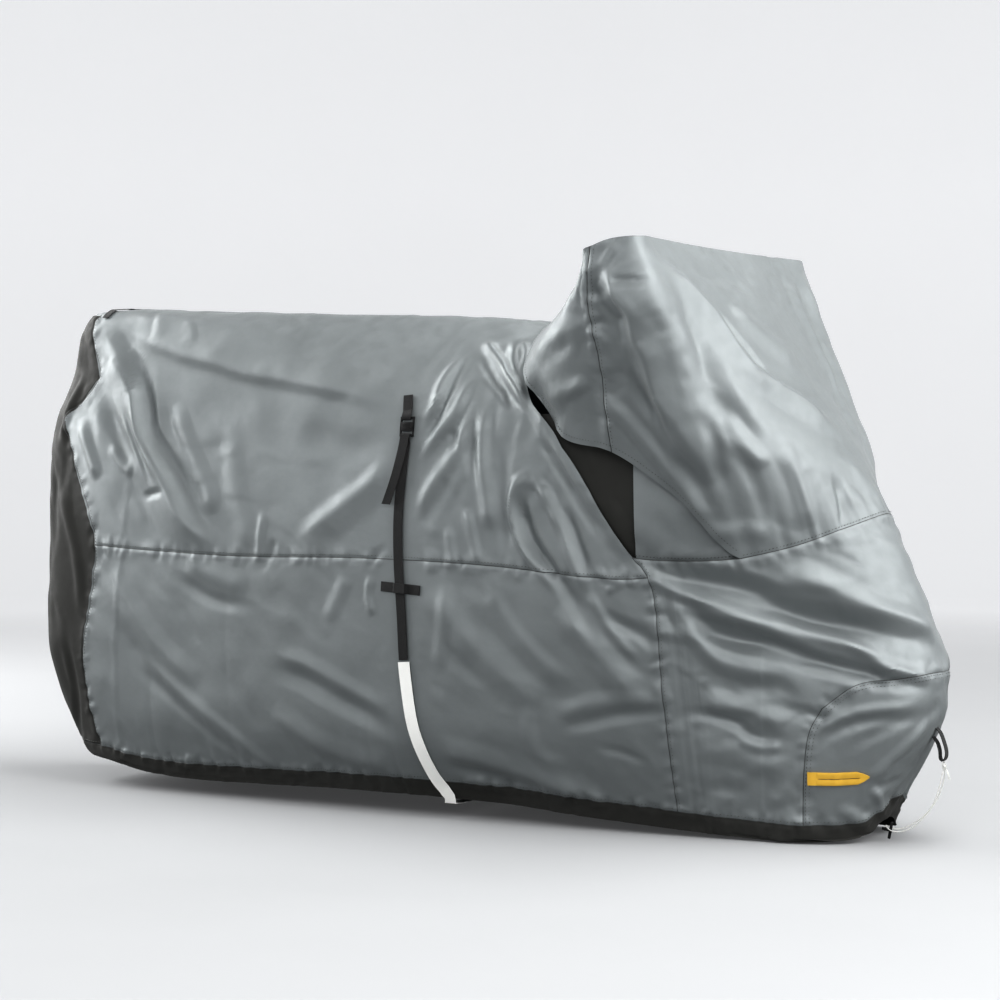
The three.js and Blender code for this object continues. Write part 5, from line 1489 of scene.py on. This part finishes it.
class ClothLine:
    """A line drawn on the draped body, measured in millimetres from its start."""

    def __init__(self, drape: Drape, knots: Knots, side: Side) -> None:
        """Draws the line."""
        self.drape, self.side = drape, side
        self.places = path_through(knots, 160)
        self.reach = distance_along(drape.body(self.places[:, 0], self.places[:, 1], side)[0])
        self.length = float(self.reach[-1])

    def at(self, distances: Sequence[float], lifts: Sequence[float] | float) -> tuple[Array, Array, Array, Array]:
        """Places along the line.

        Args:
            distances: Distances from the start.
            lifts: Heights over the cloth.

        Returns:
            Centres, outward normals, and directions along and across the line.
        """
        distances = np.asarray(distances, float)
        u, v = (np.interp(distances, self.reach, self.places[:, axis]) for axis in (0, 1))
        lifts = np.broadcast_to(np.asarray(lifts, float), distances.shape)
        point, normal, _ = self.drape.body(u, v, self.side, lifts)
        ahead = [np.interp(distances + step, self.reach, self.places[:, axis]) for step in (-6, 6) for axis in (0, 1)]
        along = unit(BODY.point(ahead[2], ahead[3], self.side) - BODY.point(ahead[0], ahead[1], self.side))
        return point, normal, along, unit(np.cross(normal, along))


@dataclass(frozen=True)
class Strap:
    """A flat strap swept through a row of centres; its outer face is on them and it is thick inwards."""

    width: float
    thick: float = WEBBING
    edge: float = 0.7

    def section(self) -> Array:
        """Offsets across and inwards of the points around the strap."""
        w, t, e = self.width / 2, self.thick, self.edge
        top = [(-w + e, 0), (-w / 2, 0), (0, 0), (w / 2, 0), (w - e, 0)]
        under = [(-x, -t) for x, _ in reversed([(-x, y) for x, y in top])]
        return np.array(top + [(w, -t / 2)] + under + [(-w, -t / 2)])

    def sweep(self, name: str, centres: Array, across: Array, facing: Array | None = None) -> Piece:
        """Makes the strap.

        Args:
            name: The piece's name.
            centres: Centres of its outer face.
            across: Directions across, one a centre.
            facing: Outward normals; left out, they follow from the centres.

        Returns:
            The strap.
        """
        run = np.gradient(centres, axis=0)
        normal = unit(np.cross(run, across))
        if facing is not None:
            normal = np.where((normal * facing).sum(-1, keepdims=True) < 0, -normal, normal)
        section = self.section()
        rings = centres[:, None] + across[:, None] * section[None, :, :1] + normal[:, None] * section[None, :, 1:]
        return closed_sweep(name, centres, rings, section[:, 0] / 1000)


def face_out(piece: Piece) -> Piece:
    """Turns the faces of a closed mesh outwards."""
    select_only(piece)
    bpy.ops.object.mode_set(mode="EDIT")
    bpy.ops.mesh.select_all(action="SELECT")
    bpy.ops.mesh.normals_make_consistent(inside=False)
    bpy.ops.object.mode_set(mode="OBJECT")
    return piece


def ring_quads(grid: Array) -> Array:
    """Four-cornered faces between rings of point numbers, one ring a row."""
    ring = np.roll(grid, -1, axis=1)
    return np.stack([grid[:-1], ring[:-1], ring[1:], grid[1:]], axis=-1).reshape(-1, 4)


def closed_sweep(name: str, path: Array, rings: Array, around: Array) -> Piece:
    """A piece with rings of points along a path, closed at both ends.

    Args:
        name: The piece's name.
        path: The points that the rings stand about.
        rings: The rings' points, in millimetres above the floor.
        around: Texture coordinate of each point of a ring, in metres.

    Returns:
        The piece.
    """
    grain = np.stack(np.broadcast_arrays(around[None], distance_along(path)[:, None] / 1000), -1).reshape(-1, 2)
    points = rings.reshape(-1, 3)
    grid = np.arange(len(points)).reshape(rings.shape[:2])
    faces = ring_quads(grid).tolist() + [grid[0][::-1].tolist(), grid[-1].tolist()]
    return face_out(mesh_object(name, points, faces, grain))


def tube(name: str, path: Array, radii: Sequence[float] | float, sides: int) -> Piece:
    """A closed round tube along a path.

    Args:
        name: The piece's name.
        path: Its centreline in millimetres above the floor.
        radii: Its radius, or one for each point.
        sides: Points around it.

    Returns:
        The tube.
    """
    run = unit(np.gradient(path, axis=0))
    across = [unit(np.cross(run[0], [0.3, 0.5, 0.81]))]
    for k in range(1, len(path)):
        across.append(unit(across[-1] - run[k] * (across[-1] @ run[k])))
    across = np.array(across)
    other = np.cross(run, across)
    turn = np.linspace(0, 2 * math.pi, sides, endpoint=False)
    arm = across[:, None] * np.cos(turn)[None, :, None] + other[:, None] * np.sin(turn)[None, :, None]
    radii = np.broadcast_to(np.asarray(radii, float), (len(path),))
    return closed_sweep(name, path, path[:, None] + arm * radii[:, None, None], turn * radii.mean() / 1000)


class Stitching:
    """Rows of machine stitches beside the seams, all in one piece, and thin dark tubes that paint the shadow line along
    each seam's folded edge.
    """

    pitch = 7.6
    length = 5.4
    half = 0.9
    rise = 1.0
    sunk = 0.3

    def __init__(self, drape: Drape, wardrobe: Wardrobe) -> None:
        """Starts with no stitches."""
        self.drape, self.wardrobe = drape, wardrobe
        self.points: list[Array] = []
        self.lines: list[Piece] = []

    def row(self, place: Callable, loft: Loft, knots: Knots, side: Side, offset: float) -> None:
        """Adds a row of stitches.

        Args:
            place: The drape's method for that surface.
            loft: The surface.
            knots: The seam's places.
            side: The side of the cover.
            offset: Distance from the seam, positive to the left of its direction seen from outside.
        """
        uv = path_through(knots, 30 * (len(knots) - 1))
        bare = loft.point(uv[:, 0], uv[:, 1], side)
        run = unit(np.gradient(bare, axis=0))
        across = np.cross(loft.normal(uv[:, 0], uv[:, 1], side), run)
        u, v = loft.shift(uv[:, 0], uv[:, 1], side, across * offset)
        v = np.clip(v, 0, loft.levels - 1)
        reach = distance_along(loft.point(u, v, side))
        at = np.arange(self.pitch, reach[-1] - self.pitch, self.pitch)
        ends = [place(np.interp(at + step, reach, u), np.interp(at + step, reach, v), side)
                for step in (-self.length / 2, self.length / 2)]
        middle, normal = (ends[0][0] + ends[1][0]) / 2, ends[0][1]
        along = unit(ends[1][0] - ends[0][0])
        wide = np.cross(normal, along)
        low = middle - normal * self.sunk
        stitch = [ends[0][0] - normal * self.sunk, low + wide * self.half, low - wide * self.half,
                  ends[1][0] - normal * self.sunk, middle + normal * self.rise]
        self.points.append(np.stack(stitch, axis=1))

    def line(self, place: Callable, loft: Loft, knots: Knots, side: Side) -> None:
        """Adds a painted shadow line along a seam's folded edge: a thin dark tube half sunk in the groove."""
        uv = path_through(knots, 30 * (len(knots) - 1))
        reach = distance_along(loft.point(uv[:, 0], uv[:, 1], side))
        at = np.linspace(0, reach[-1], max(8, round(reach[-1] / 6)))
        points, normals, _ = place(np.interp(at, reach, uv[:, 0]), np.interp(at, reach, uv[:, 1]), side)
        # The dark tube paints the shadow that the folded edge casts into the groove
        self.lines.append(tube("seam_shadow_line", points + normals * 0.1, self.half, 5))

    def seam(self, place: Callable, loft: Loft, knots: Knots, side: Side, *offsets: float) -> None:
        """Adds a seam's rows of stitches at their offsets, and the painted shadow line along its folded edge."""
        for offset in offsets:
            self.row(place, loft, knots, side, offset)
        self.line(place, loft, knots, side)

    def build(self) -> None:
        """Makes one piece of the painted shadow lines along the folded edges and one of all the stitches."""
        # One piece of all the painted seam shadow lines
        dress(join_pieces("seam_shadow_lines", self.lines), Slot.GREY_CLOTH, self.wardrobe.dark_thread_and_shade)
        points = np.concatenate(self.points)
        faces = np.array([(0, 2, 4), (2, 3, 4), (3, 1, 4), (1, 0, 4), (0, 1, 3), (0, 3, 2)])
        index = np.arange(len(points))[:, None, None] * 5 + faces[None]
        piece = mesh_object("seam_stitches", points.reshape(-1, 3), index.reshape(-1, 3).tolist())
        dress(piece, Slot.GREY_CLOTH, self.wardrobe.dark_thread_and_shade)


@dataclass
class Belt:
    """The belt down the right side: tab, buckle, strap, loose end, keeper and white sleeve."""

    drape: Drape
    wardrobe: Wardrobe
    lift: float = 5.0
    buckle_at: float = 70.0
    buckle_length: float = 44.0
    buckle_width: float = 35.0
    buckle_thick: float = 4.0
    bar: float = 5.0
    slot: float = 7.0
    buckle_lift: float = 2.0
    webbing_width: float = 24.0
    strap_to: float = 582.0
    sleeve_from: float = 586.0
    sleeve_width: float = 30.0
    sleeve_height: float = 31.0
    loose_length: float = 150.0
    drift: float = -30.0
    keeper_width: float = 22.0

    def __post_init__(self) -> None:
        """Draws the belt's line."""
        self.line = ClothLine(self.drape, BELT_LINE, Side.RIGHT)
        self.end = self.buckle_length / 2

    def over_bar(self, direction: int, rise: float) -> list[Place]:
        """Distances and lifts of a webbing end that goes over a bar and down into the slot behind it."""
        top = self.buckle_lift + self.buckle_thick + 1.7 + WEBBING
        edge = self.end - self.bar
        rows = [(self.end + rise, self.lift), (self.end + 3.5, top), (self.end - self.bar / 2, top + 0.3),
                (edge - 1.6, top - 0.8), (edge - 3, top - 3.4)]
        return [(self.buckle_at + direction * away, lift) for away, lift in rows]

    def swept(self, name: str, rows: Knots, width: float, drift: float) -> Piece:
        """A strap along the belt's line.

        Args:
            name: The piece's name.
            rows: Distances and lifts, in order.
            width: Width of the webbing.
            drift: Distance that its end drifts across the line.

        Returns:
            The strap.
        """
        knots = np.array(sorted(rows))
        count = max(8, round((knots[-1, 0] - knots[0, 0]) / 4))
        at = np.union1d(np.linspace(knots[0, 0], knots[-1, 0], count), knots[:, 0])
        point, normal, _, across = self.line.at(at, np.interp(at, knots[:, 0], knots[:, 1]))
        t = (at - at[0]) / (at[-1] - at[0])
        point = point + across * (drift * t * t)[:, None]
        return Strap(width).sweep(name, point, across, normal)

    def build(self) -> None:
        """Makes and dresses every piece of the belt."""
        webbing, reach = self.wardrobe.webbing, self.end + 14
        tab = [(0, self.lift + 1), (18, self.lift), *self.over_bar(-1, 14)]
        strap = [*self.over_bar(1, 14), (self.buckle_at + reach + 20, self.lift), (self.strap_to, self.lift)]
        start = self.buckle_at + self.end + 1
        base = self.buckle_lift + self.buckle_thick + 2 * WEBBING + 2.6
        loose = [(start + self.loose_length * t, base + 3 * math.sin(math.pi * t)) for t in np.linspace(0, 1, 16)]
        for node, rows, width, drift in (("belt_tab", tab, self.webbing_width, 0.0),
                                         ("belt_strap", strap, self.webbing_width, 0.0),
                                         ("belt_loose_end", loose, self.webbing_width - 1, self.drift)):
            dress(self.swept(f"{node}_webbing", rows, width, drift), Slot.BLACK_WEBBING, webbing, node)
        dress(self.keeper(), Slot.BLACK_WEBBING, webbing, "belt_keeper")
        dress(self.sleeve(), Slot.WHITE_WEBBING, self.wardrobe.sleeve, "belt_sleeve")
        dress(self.buckle(), Slot.BLACK_PLASTIC, self.wardrobe.plastic, "belt_buckle")

    def keeper(self) -> Piece:
        """Keeper tab sewn across the belt at the waist seam."""
        line = ClothLine(self.drape, [(5.19, 4.235), (5.345, 4.245), (5.5, 4.255)], Side.RIGHT)
        middle, clear, over = line.length / 2, 18.5, self.lift + WEBBING + 1.6
        knots = np.array([(0, 2.8), (middle - clear, 3.2), (middle - clear + 4.5, over),
                          (middle + clear - 4.5, over), (middle + clear, 3.2), (line.length, 2.8)])
        at = np.union1d(np.linspace(0, line.length, 30), knots[:, 0])
        point, normal, _, across = line.at(at, np.interp(at, knots[:, 0], knots[:, 1]))
        return Strap(self.keeper_width).sweep("belt_keeper_webbing", point, across, normal)

    def sleeve(self) -> Piece:
        """White sleeve: down the cloth, under the hem and up to the left hem band."""
        back = ClothLine(self.drape, [(5.62, 6.95), (5.62, 5.9)], Side.LEFT)
        down = self.line.at(np.linspace(self.sleeve_from, self.line.length, 60), self.lift)
        up = back.at(np.linspace(0, back.length, 8), self.lift)
        right, left = down[0][-1], up[0][0]
        t = np.linspace(0, 1, 40)[:, None]
        under = right + (left - right) * t
        under[:, 1] = (left[1] - 30) * (2 * t[:, 0] - 1)
        under[:, 2] = self.sleeve_height
        bend = self.sleeve_height + 2
        corner = [np.array([right[0], right[1] + 3, bend]), np.array([left[0], left[1] - 3, bend])]
        centres = np.concatenate([down[0], corner[:1], under, corner[1:], up[0]])
        forward = np.array([1.0, 0.0, 0.0])
        across = np.concatenate([down[3], np.broadcast_to(forward, (len(under) + 2, 3)), up[3]])
        across = np.where((across @ forward)[:, None] < 0, -across, across)
        return Strap(self.sleeve_width).sweep("belt_sleeve_cloth", centres, across)

    def buckle(self) -> Piece:
        """Plastic buckle with a slot at each end and a ribbed grip between them."""
        centre, normal, along, across = (x[0] for x in self.line.at([self.buckle_at], self.buckle_lift))
        half, width, thick = self.end, self.buckle_width / 2, self.buckle_thick
        bars = [(0, 0, half - self.bar - self.slot, width, thick, 0),
                (half - self.bar / 2, 0, self.bar / 2, width, thick, 0),
                (-half + self.bar / 2, 0, self.bar / 2, width, thick, 0),
                (0, width - 1.75, half, 1.75, thick, 0), (0, -width + 1.75, half, 1.75, thick, 0)]
        bars += [(x, 0, 0.8, width - 6, 1.0, thick) for x in (-6, -3, 0, 3, 6)]
        made = [moulded_bar(*bar, radius=min(0.7, bar[4] * 0.4)) for bar in bars]
        place = Matrix((*zip(along, across, normal, to_frame(centre) * 1000), (0, 0, 0, 1)))
        return moulding("belt_buckle_plastic", made, place)


def moulded_bar(x: float, y: float, half_x: float, half_y: float, high: float, base: float,
                radius: float) -> Piece:
    """A moulded bar with rounded edges, in millimetres about its own middle.

    Args:
        x: Middle along.
        y: Middle across.
        half_x: Half of its length.
        half_y: Half of its width.
        high: Its thickness.
        base: Height of its underside.
        radius: Radius of its edges.

    Returns:
        The bar.
    """
    bpy.ops.object.select_all(action="DESELECT")
    bpy.ops.mesh.primitive_cube_add(size=2, location=(x, y, base + high / 2))
    bar = bpy.context.active_object
    bar.scale = (half_x, half_y, high / 2)
    bpy.ops.object.transform_apply(location=True, rotation=True, scale=True)
    modifier = bar.modifiers.new("edges", "BEVEL")
    modifier.width, modifier.segments = radius, 3
    bpy.ops.object.modifier_apply(modifier=modifier.name)
    return bar


def join_pieces(name: str, parts: Sequence[Piece]) -> Piece:
    """Joins parts into one piece with a name."""
    select_only(*parts)
    bpy.ops.object.join()
    piece = bpy.context.active_object
    piece.name = name
    piece.data.name = name
    return piece


def moulding(name: str, parts: Sequence[Piece], place: Matrix) -> Piece:
    """A moulded piece of parts modelled about its own middle.

    Args:
        name: The piece's name.
        parts: Its parts, in millimetres.
        place: Its place, in millimetres.

    Returns:
        The piece, in metres and with its place in its mesh.
    """
    piece = join_pieces(name, parts)
    piece.data.transform(Matrix.Diagonal((0.001, 0.001, 0.001, 1)) @ place)
    piece.data.update()
    shade(face_out(piece), 40)
    return piece


@dataclass
class TailTab:
    """Webbing tab over the top of the tail."""

    drape: Drape
    wardrobe: Wardrobe
    width: float = 20.0
    lift: float = 4.2
    line: tuple[Place, ...] = ((2.22, 1.12), (2.18, 0.96), (2.02, 0.78), (1.74, 0.64), (1.34, 0.56), (0.9, 0.5),
                               (0, 0.42))

    def build(self) -> None:
        """Makes and dresses the tab."""
        halves = []
        for side in Side:
            line = ClothLine(self.drape, self.line, side)
            point, normal, _, across = line.at(np.linspace(0, line.length, 50), self.lift)
            halves.append((point, normal, across * -side.value))
        right, left = halves
        middle = (np.array([[right[0][-1][0], 0, right[0][-1][2]]]), UP[None], np.array([[-1.0, 0, 0]]))
        point, normal, across = (np.concatenate([right[k][:-1], middle[k], left[k][::-1][1:]]) for k in range(3))
        tab = Strap(self.width).sweep("tail_tab_webbing", point, across, normal)
        dress(tab, Slot.BLACK_WEBBING, self.wardrobe.webbing, "tail_tab")


@dataclass
class LockWelts:
    """Yellow welts of the lock slits at the wheel panel."""

    drape: Drape
    wardrobe: Wardrobe
    width: float = 27.0
    slit: float = 1.6
    lift: float = 3.6
    line: tuple[Place, ...] = ((9.98, 5.56), (10.4, 5.56), (10.84, 5.55))
    rows: tuple[Place, ...] = ((0, 1), (0.14, 1), (0.36, 1), (0.6, 1), (0.8, 1), (0.9, 0.62), (0.99, 0.12))

    def build(self) -> None:
        """Makes and dresses the welt of each side."""
        for side in Side:
            welt = self.welt(side)
            dress(welt, Slot.YELLOW_CLOTH, self.wardrobe.yellow, f"lock_welt_{side.hand}")

    def welt(self, side: Side) -> Piece:
        """One welt, its two lips rolled towards the slit and its front end cut to a point."""
        line = ClothLine(self.drape, self.line, side)
        table = np.array(self.rows)
        t = np.union1d(np.linspace(0, 0.99, 46), table[:, 0])
        share = np.interp(t, table[:, 0], table[:, 1])
        point, normal, _, across = line.at(line.length * t, self.lift)
        open_share = smooth((t - 0.14) / 0.03) * smooth((0.86 - t) / 0.03)
        inner = np.minimum(self.slit / 2, 0.2 * self.width * share) * open_share
        half = 0.5 * self.width * share
        lips = np.linspace(0, 1, 7)
        offset = np.concatenate([-half[:, None] + (half - inner)[:, None] * lips,
                                 inner[:, None] + (half - inner)[:, None] * lips], axis=1)
        roll = np.concatenate([np.sin(math.pi * lips ** 0.7), np.sin(math.pi * lips[::-1] ** 0.7)])
        height = roll[None] * 1.1 * open_share[:, None] + 0.35 * np.sin(t * 31)[:, None]
        points = point[:, None] + across[:, None] * offset[..., None] + normal[:, None] * height[..., None]
        depth = points - normal[:, None] * (2.4 + height[..., None] * 0.5)
        return slab(f"lock_welt_{side.hand}_cloth", points, depth, open_share > 0.5)


def slab(name: str, top: Array, under: Array, slit: Array) -> Piece:
    """A closed piece between two grids, open between its two middle columns where the slit is.

    Args:
        name: The piece's name.
        top: Grid of outer points.
        under: Grid of inner points.
        slit: Whether the slit is open at each row.

    Returns:
        The piece.
    """
    rows, columns = top.shape[:2]
    grid = np.arange(rows * columns).reshape(rows, columns)
    low = grid + rows * columns
    keep = np.ones((rows - 1, columns - 1), bool)
    keep[:, columns // 2 - 1] = ~(slit[:-1] & slit[1:])
    faces, edges = [], {}
    for i, j in zip(*np.nonzero(keep)):
        quad = [grid[i, j], grid[i, j + 1], grid[i + 1, j + 1], grid[i + 1, j]]
        faces += [quad, [low.flat[c] for c in quad][::-1]]
        edges.update(dict.fromkeys(zip(quad, quad[1:] + quad[:1])))
    faces += [[b, a, low.flat[a], low.flat[b]] for a, b in edges if (b, a) not in edges]
    points = np.concatenate([top.reshape(-1, 3), under.reshape(-1, 3)])
    return face_out(mesh_object(name, points, [[int(c) for c in face] for face in faces], points[:, ::2] / 1000))


LOOP_BIGHT = [(1049.5, 238), (1058, 229), (1067, 208), (1072, 188), (1070, 175), (1064, 169), (1058, 173),
              (1056, 190), (1051, 206), (1042, 218)]
CORD_ROUTE = [
    (1066, -4, 150), (1064, -7, 139), (1061, -9, 122), (1055, -11, 100), (1046, -13, 78), (1032, -15, 57),
    (1014, -19, 38), (996, -24, 26), (982, -29, 21), (972, -33, 20.5), (963, -35, 23), (955, -34, 28),
    (950, -29, 31.5), (953, -24, 30), (961, -21.5, 26), (970, -18, 24), (984, -13.5, 27), (1003, -9, 37),
    (1022, -5, 52), (1040, -1.5, 72), (1053, 1, 94), (1061, 3, 117), (1065, 4, 136), (1066, 4.5, 150),
]


@dataclass
class FrontTie:
    """The loop on the bow, the cord tied to it and hooked around the toggle, and its knot."""

    wardrobe: Wardrobe
    diameter: float = 2.4
    toggle_at: tuple[float, float, float] = (963.0, -27.0, 22.0)
    toggle_bar: float = 36.0
    toggle_stem: float = 15.0
    toggle_wide: float = 6.0
    toggle_thick: float = 4.0
    toggle_lean: float = 0.18
    toggle_turn: float = 0.2
    strands: int = 11
    loop_width: float = 18.0

    def build(self) -> None:
        """Makes and dresses the loop, the knot, the toggle and the cord."""
        bight = path_through([(x, 0, z) for x, z in LOOP_BIGHT], 60)
        across = np.broadcast_to([0.0, 1.0, 0.0], bight.shape)
        loop = Strap(self.loop_width).sweep("front_loop_webbing", bight, across)
        dress(loop, Slot.BLACK_WEBBING, self.wardrobe.webbing, "front_loop")
        knot = dress(self.knot(), Slot.WHITE_CORD, self.wardrobe.cord, "cord_knot")
        toggle = dress(self.toggle(), Slot.BLACK_PLASTIC, self.wardrobe.plastic, "toggle")
        path = path_through(CORD_ROUTE, 138)
        cord = dress(tube("tie_cord", path, self.diameter / 2, 10), Slot.WHITE_CORD, self.wardrobe.cord, "cord")
        length = float(distance_along(path)[-1]) / 1000
        LOG.info("tie_cord: %.3f m long", length)
        to_frame(path[0]).tolist()

    def knot(self) -> Piece:
        """The knot under the loop: turns of cord around each other, and a frayed free end."""
        turns = np.linspace(0, 1, 70)
        middle = path_through([(1064, 0, 166.5), (1066, 0, 160), (1068, 0, 155)], 69)
        angle = 2 * math.pi * 2.6 * turns
        coil = middle + np.stack([2.3 * np.cos(angle), 4.3 * np.sin(angle), 1.6 * np.sin(angle * 0.77)], axis=-1)
        parts = [tube("knot_coil", coil, 1.35, 8)]
        cross = path_through([(1066, -5, 152), (1063, -1.5, 158), (1068, 2, 163), (1066, 4.5, 156), (1063, 3, 150)], 30)
        parts.append(tube("knot_cross", cross, 1.3, 8))
        dice = np.random.default_rng(5)
        for _ in range(self.strands):
            end = np.array([1080, -5, 134]) + dice.normal(size=3) * (1.6, 1.6, 2.2)
            middle_point = np.array([1074, -2, 147]) + dice.normal(size=3) * 0.7
            strand = path_through([(1068, 0, 157), tuple(middle_point), tuple(end)], 10)
            parts.append(tube("knot_strand", strand, np.linspace(0.75, 0.4, 11), 5))
        piece = join_pieces("cord_knot_yarn", parts)
        shade(piece, 60)
        return piece

    def toggle(self) -> Piece:
        """A flat T: its stem to the rear, its crossbar leaning with the hem, all edges rounded."""
        wide, half = self.toggle_wide, self.toggle_bar / 2
        parts = [moulded_bar(-wide / 2, 0, wide / 2, half, self.toggle_thick, -self.toggle_thick / 2, 1.3),
                 moulded_bar(-wide - self.toggle_stem / 2 + 1, 0, self.toggle_stem / 2 + 1, wide / 2,
                             self.toggle_thick * 0.9, -self.toggle_thick * 0.45, 1.1),
                 moulded_bar(-wide - self.toggle_stem * 0.55, 0, 1.2, wide / 2 + 0.8, self.toggle_thick,
                             -self.toggle_thick / 2, 0.8)]
        stand = Matrix.Rotation(math.pi / 2, 4, "X")
        lean = Matrix.Rotation(self.toggle_lean, 4, "Y")
        turn = Matrix.Rotation(self.toggle_turn, 4, "Z")
        at = Matrix.Translation(Vector(self.toggle_at) - Vector((0, 0, ORIGIN_HEIGHT)))
        middle = Matrix.Translation((0, 0, self.toggle_thick / 2))
        return moulding("cord_toggle_plastic", parts, at @ turn @ lean @ stand @ middle)


@dataclass
class Studio:
    """Camera, pale floor that rises into a backdrop all round, and soft light."""

    azimuth: float = 31.0
    pitch: float = 1.1
    reach: float = 5.68
    eye: float = 805.0
    lens: float = 90.0
    floor: float = -ORIGIN_HEIGHT / 1000
    radius: float = 11.0
    glow_from: Place = (1.6, 7.5)
    glow: Place = (0.1, 0.74)

    def camera(self) -> None:
        """The camera of the photograph's view."""
        data = bpy.data.cameras.new("studio_camera")
        data.lens, data.sensor_width, data.clip_end = self.lens, 36.0, 100.0
        camera = bpy.data.objects.new("studio_camera", data)
        turn = math.radians(self.azimuth)
        camera.location = (self.reach * math.sin(turn), -self.reach * math.cos(turn), self.eye / 1000 + self.floor)
        camera.rotation_euler = (math.radians(90 - self.pitch), 0.0, turn)
        bpy.context.scene.collection.objects.link(camera)
        bpy.context.scene.camera = camera

    def backdrop(self) -> None:
        """Round floor, and a wall that curves up from its rim.

        The floor doesn't show in glossy reflections, so cloth that faces down stays darker than cloth that faces up.
        """
        sweep = 2.5
        rim = self.radius - sweep
        floor = self.paper("studio_floor", [(0.02, 0.0), (2.0, 0.0), (5.0, 0.0), (rim, 0.0)])
        floor.visible_glossy = False
        curve = [(rim + sweep * math.sin(a), sweep * (1 - math.cos(a))) for a in np.linspace(0, math.pi / 2, 14)]
        self.paper("studio_wall", [*curve, (self.radius, 6.0)])

    def paper(self, name: str, profile: Knots) -> Piece:
        """A round sheet of studio paper, lit from behind more and more towards the wall.

        Args:
            name: Its name.
            profile: Radius and height over the floor of its rings.

        Returns:
            The sheet.
        """
        turn = np.linspace(0, 2 * math.pi, 96, endpoint=False)
        points = np.array([(r * math.cos(t), r * math.sin(t), z + self.floor) for r, z in profile for t in turn])
        grid = np.arange(len(points)).reshape(len(profile), len(turn))
        quads = ring_quads(grid)[:, ::-1].tolist()
        if profile[0][0] < 0.1:
            quads.append(grid[0].tolist())
        mesh = bpy.data.meshes.new(name)
        mesh.from_pydata(points.tolist(), [], quads)
        mesh.polygons.foreach_set("use_smooth", [True] * len(mesh.polygons))
        sheet = bpy.data.objects.new(name, mesh)
        bpy.context.scene.collection.objects.link(sheet)
        w = Wiring(f"{name}_paper")
        where = w.place("Object")
        w.feed("Base Color", w.blend(w.noise(where, 2.0), (0.345, 0.35, 0.355), (0.365, 0.37, 0.375)))
        away = w.node("ShaderNodeVectorMath", operation="LENGTH")
        w.link(where, away.inputs[0])
        w.feed("Emission Strength", w.ramp(away.outputs["Value"], *self.glow_from, *self.glow))
        w.set(Roughness=0.9, Specular_IOR_Level=0.1, Emission_Color=(0.98, 0.985, 1.0, 1.0))
        mesh.materials.append(w.material)
        sheet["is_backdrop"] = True
        return sheet

    def lamp(self, name: str, at: Sequence[float], size: Place, power: float, target: Sequence[float]) -> None:
        """A soft box that the camera doesn't see.

        Args:
            name: Its name.
            at: Its place.
            size: Its width and height.
            power: Its power in watts.
            target: The point that it faces.
        """
        data = bpy.data.lights.new(name, "AREA")
        data.shape, data.size, data.size_y, data.energy = "RECTANGLE", *size, power
        lamp = bpy.data.objects.new(name, data)
        lamp.location = at
        lamp.rotation_euler = (Vector(target) - Vector(at)).to_track_quat("-Z", "Y").to_euler()
        lamp.visible_camera = False
        bpy.context.scene.collection.objects.link(lamp)

    def light(self) -> None:
        """Soft boxes at the right, at the left, above and in front, and a dim sky."""
        self.lamp("key_light", (4.5, -0.2, 1.8), (6.0, 3.6), 335, (0.3, 0, -0.3))
        self.lamp("left_light", (-4.5, -0.5, 1.3), (4.0, 3.6), 380, (-0.3, 0, -0.3))
        self.lamp("top_light", (1.3, 0.3, 3.3), (3.8, 2.2), 262, (0.5, 0, 0))
        self.lamp("fill_light", (1.6, -5.6, 2.9), (4.5, 2.6), 172, (0, 0, -0.4))
        world = bpy.data.worlds.new("studio_sky")
        world.use_nodes = True
        world.node_tree.nodes["Background"].inputs["Color"].default_value = (0.93, 0.965, 1.0, 1)
        world.node_tree.nodes["Background"].inputs["Strength"].default_value = 0.15
        bpy.context.scene.world = world
        bpy.context.scene.view_settings.view_transform = "Standard"
        bpy.context.scene.view_settings.look = "High Contrast"
        bpy.context.scene.view_settings.exposure = -0.8


def stitch_rows(drape: Drape, wardrobe: Wardrobe) -> None:
    """Stitches along every seam that the cloth shows."""
    work = Stitching(drape, wardrobe)
    for side in Side:
        out = 6.0 if side is Side.RIGHT else -6.0
        for knots in (WAIST_SEAM, TAIL_SEAM, FRONT_SEAM, HOOD_SEAM, HOOD_SEAM[-1:] + BOW_SEAM):
            work.seam(drape.body, BODY, knots, side, out)
        for knots in (WHEEL_SEAM_SIDE[::-1], WHEEL_SEAM_TOP):
            work.seam(drape.body, BODY, knots, side, -out * 0.8, -out * 2.0)
        work.seam(drape.body, BODY, HEM_SEAM, side, out)
        work.seam(drape.hood, HOOD, HOOD_UPRIGHT_SEAM, side, out)
        work.row(drape.hood, HOOD, [(k, HOOD_EDGE) for k in range(1, 7)], side, out * 2)
    work.build()


def write_sizes(cad: tuple[Vector, Vector]) -> None:
    """Works out the box of the solids and that of the dressed model."""
    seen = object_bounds()
    sizes = {"cad": [list(corner) for corner in cad], "visual": [list(corner) for corner in seen]}


def main() -> None:
    """Builds the camera, the tie, the cloth and the fittings in order."""
    logging.basicConfig(level=logging.INFO, format="%(name)s %(message)s")
    cad = tuple(corner.copy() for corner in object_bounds())
    studio = Studio()
    studio.camera()
    wardrobe = Wardrobe()
    FrontTie(wardrobe).build()
    drape = Drape()
    LOG.info("%d folds on the body, %d on the hood", len(drape.body_field.creases), len(drape.hood_field.creases))
    for assembly in (BodyShell, HoodShell, VentSet, Belt, TailTab, LockWelts):
        assembly(drape, wardrobe).build()
    stitch_rows(drape, wardrobe)
    studio.backdrop()
    studio.light()
    write_sizes(cad)


if __name__ == "__main__":
    main()
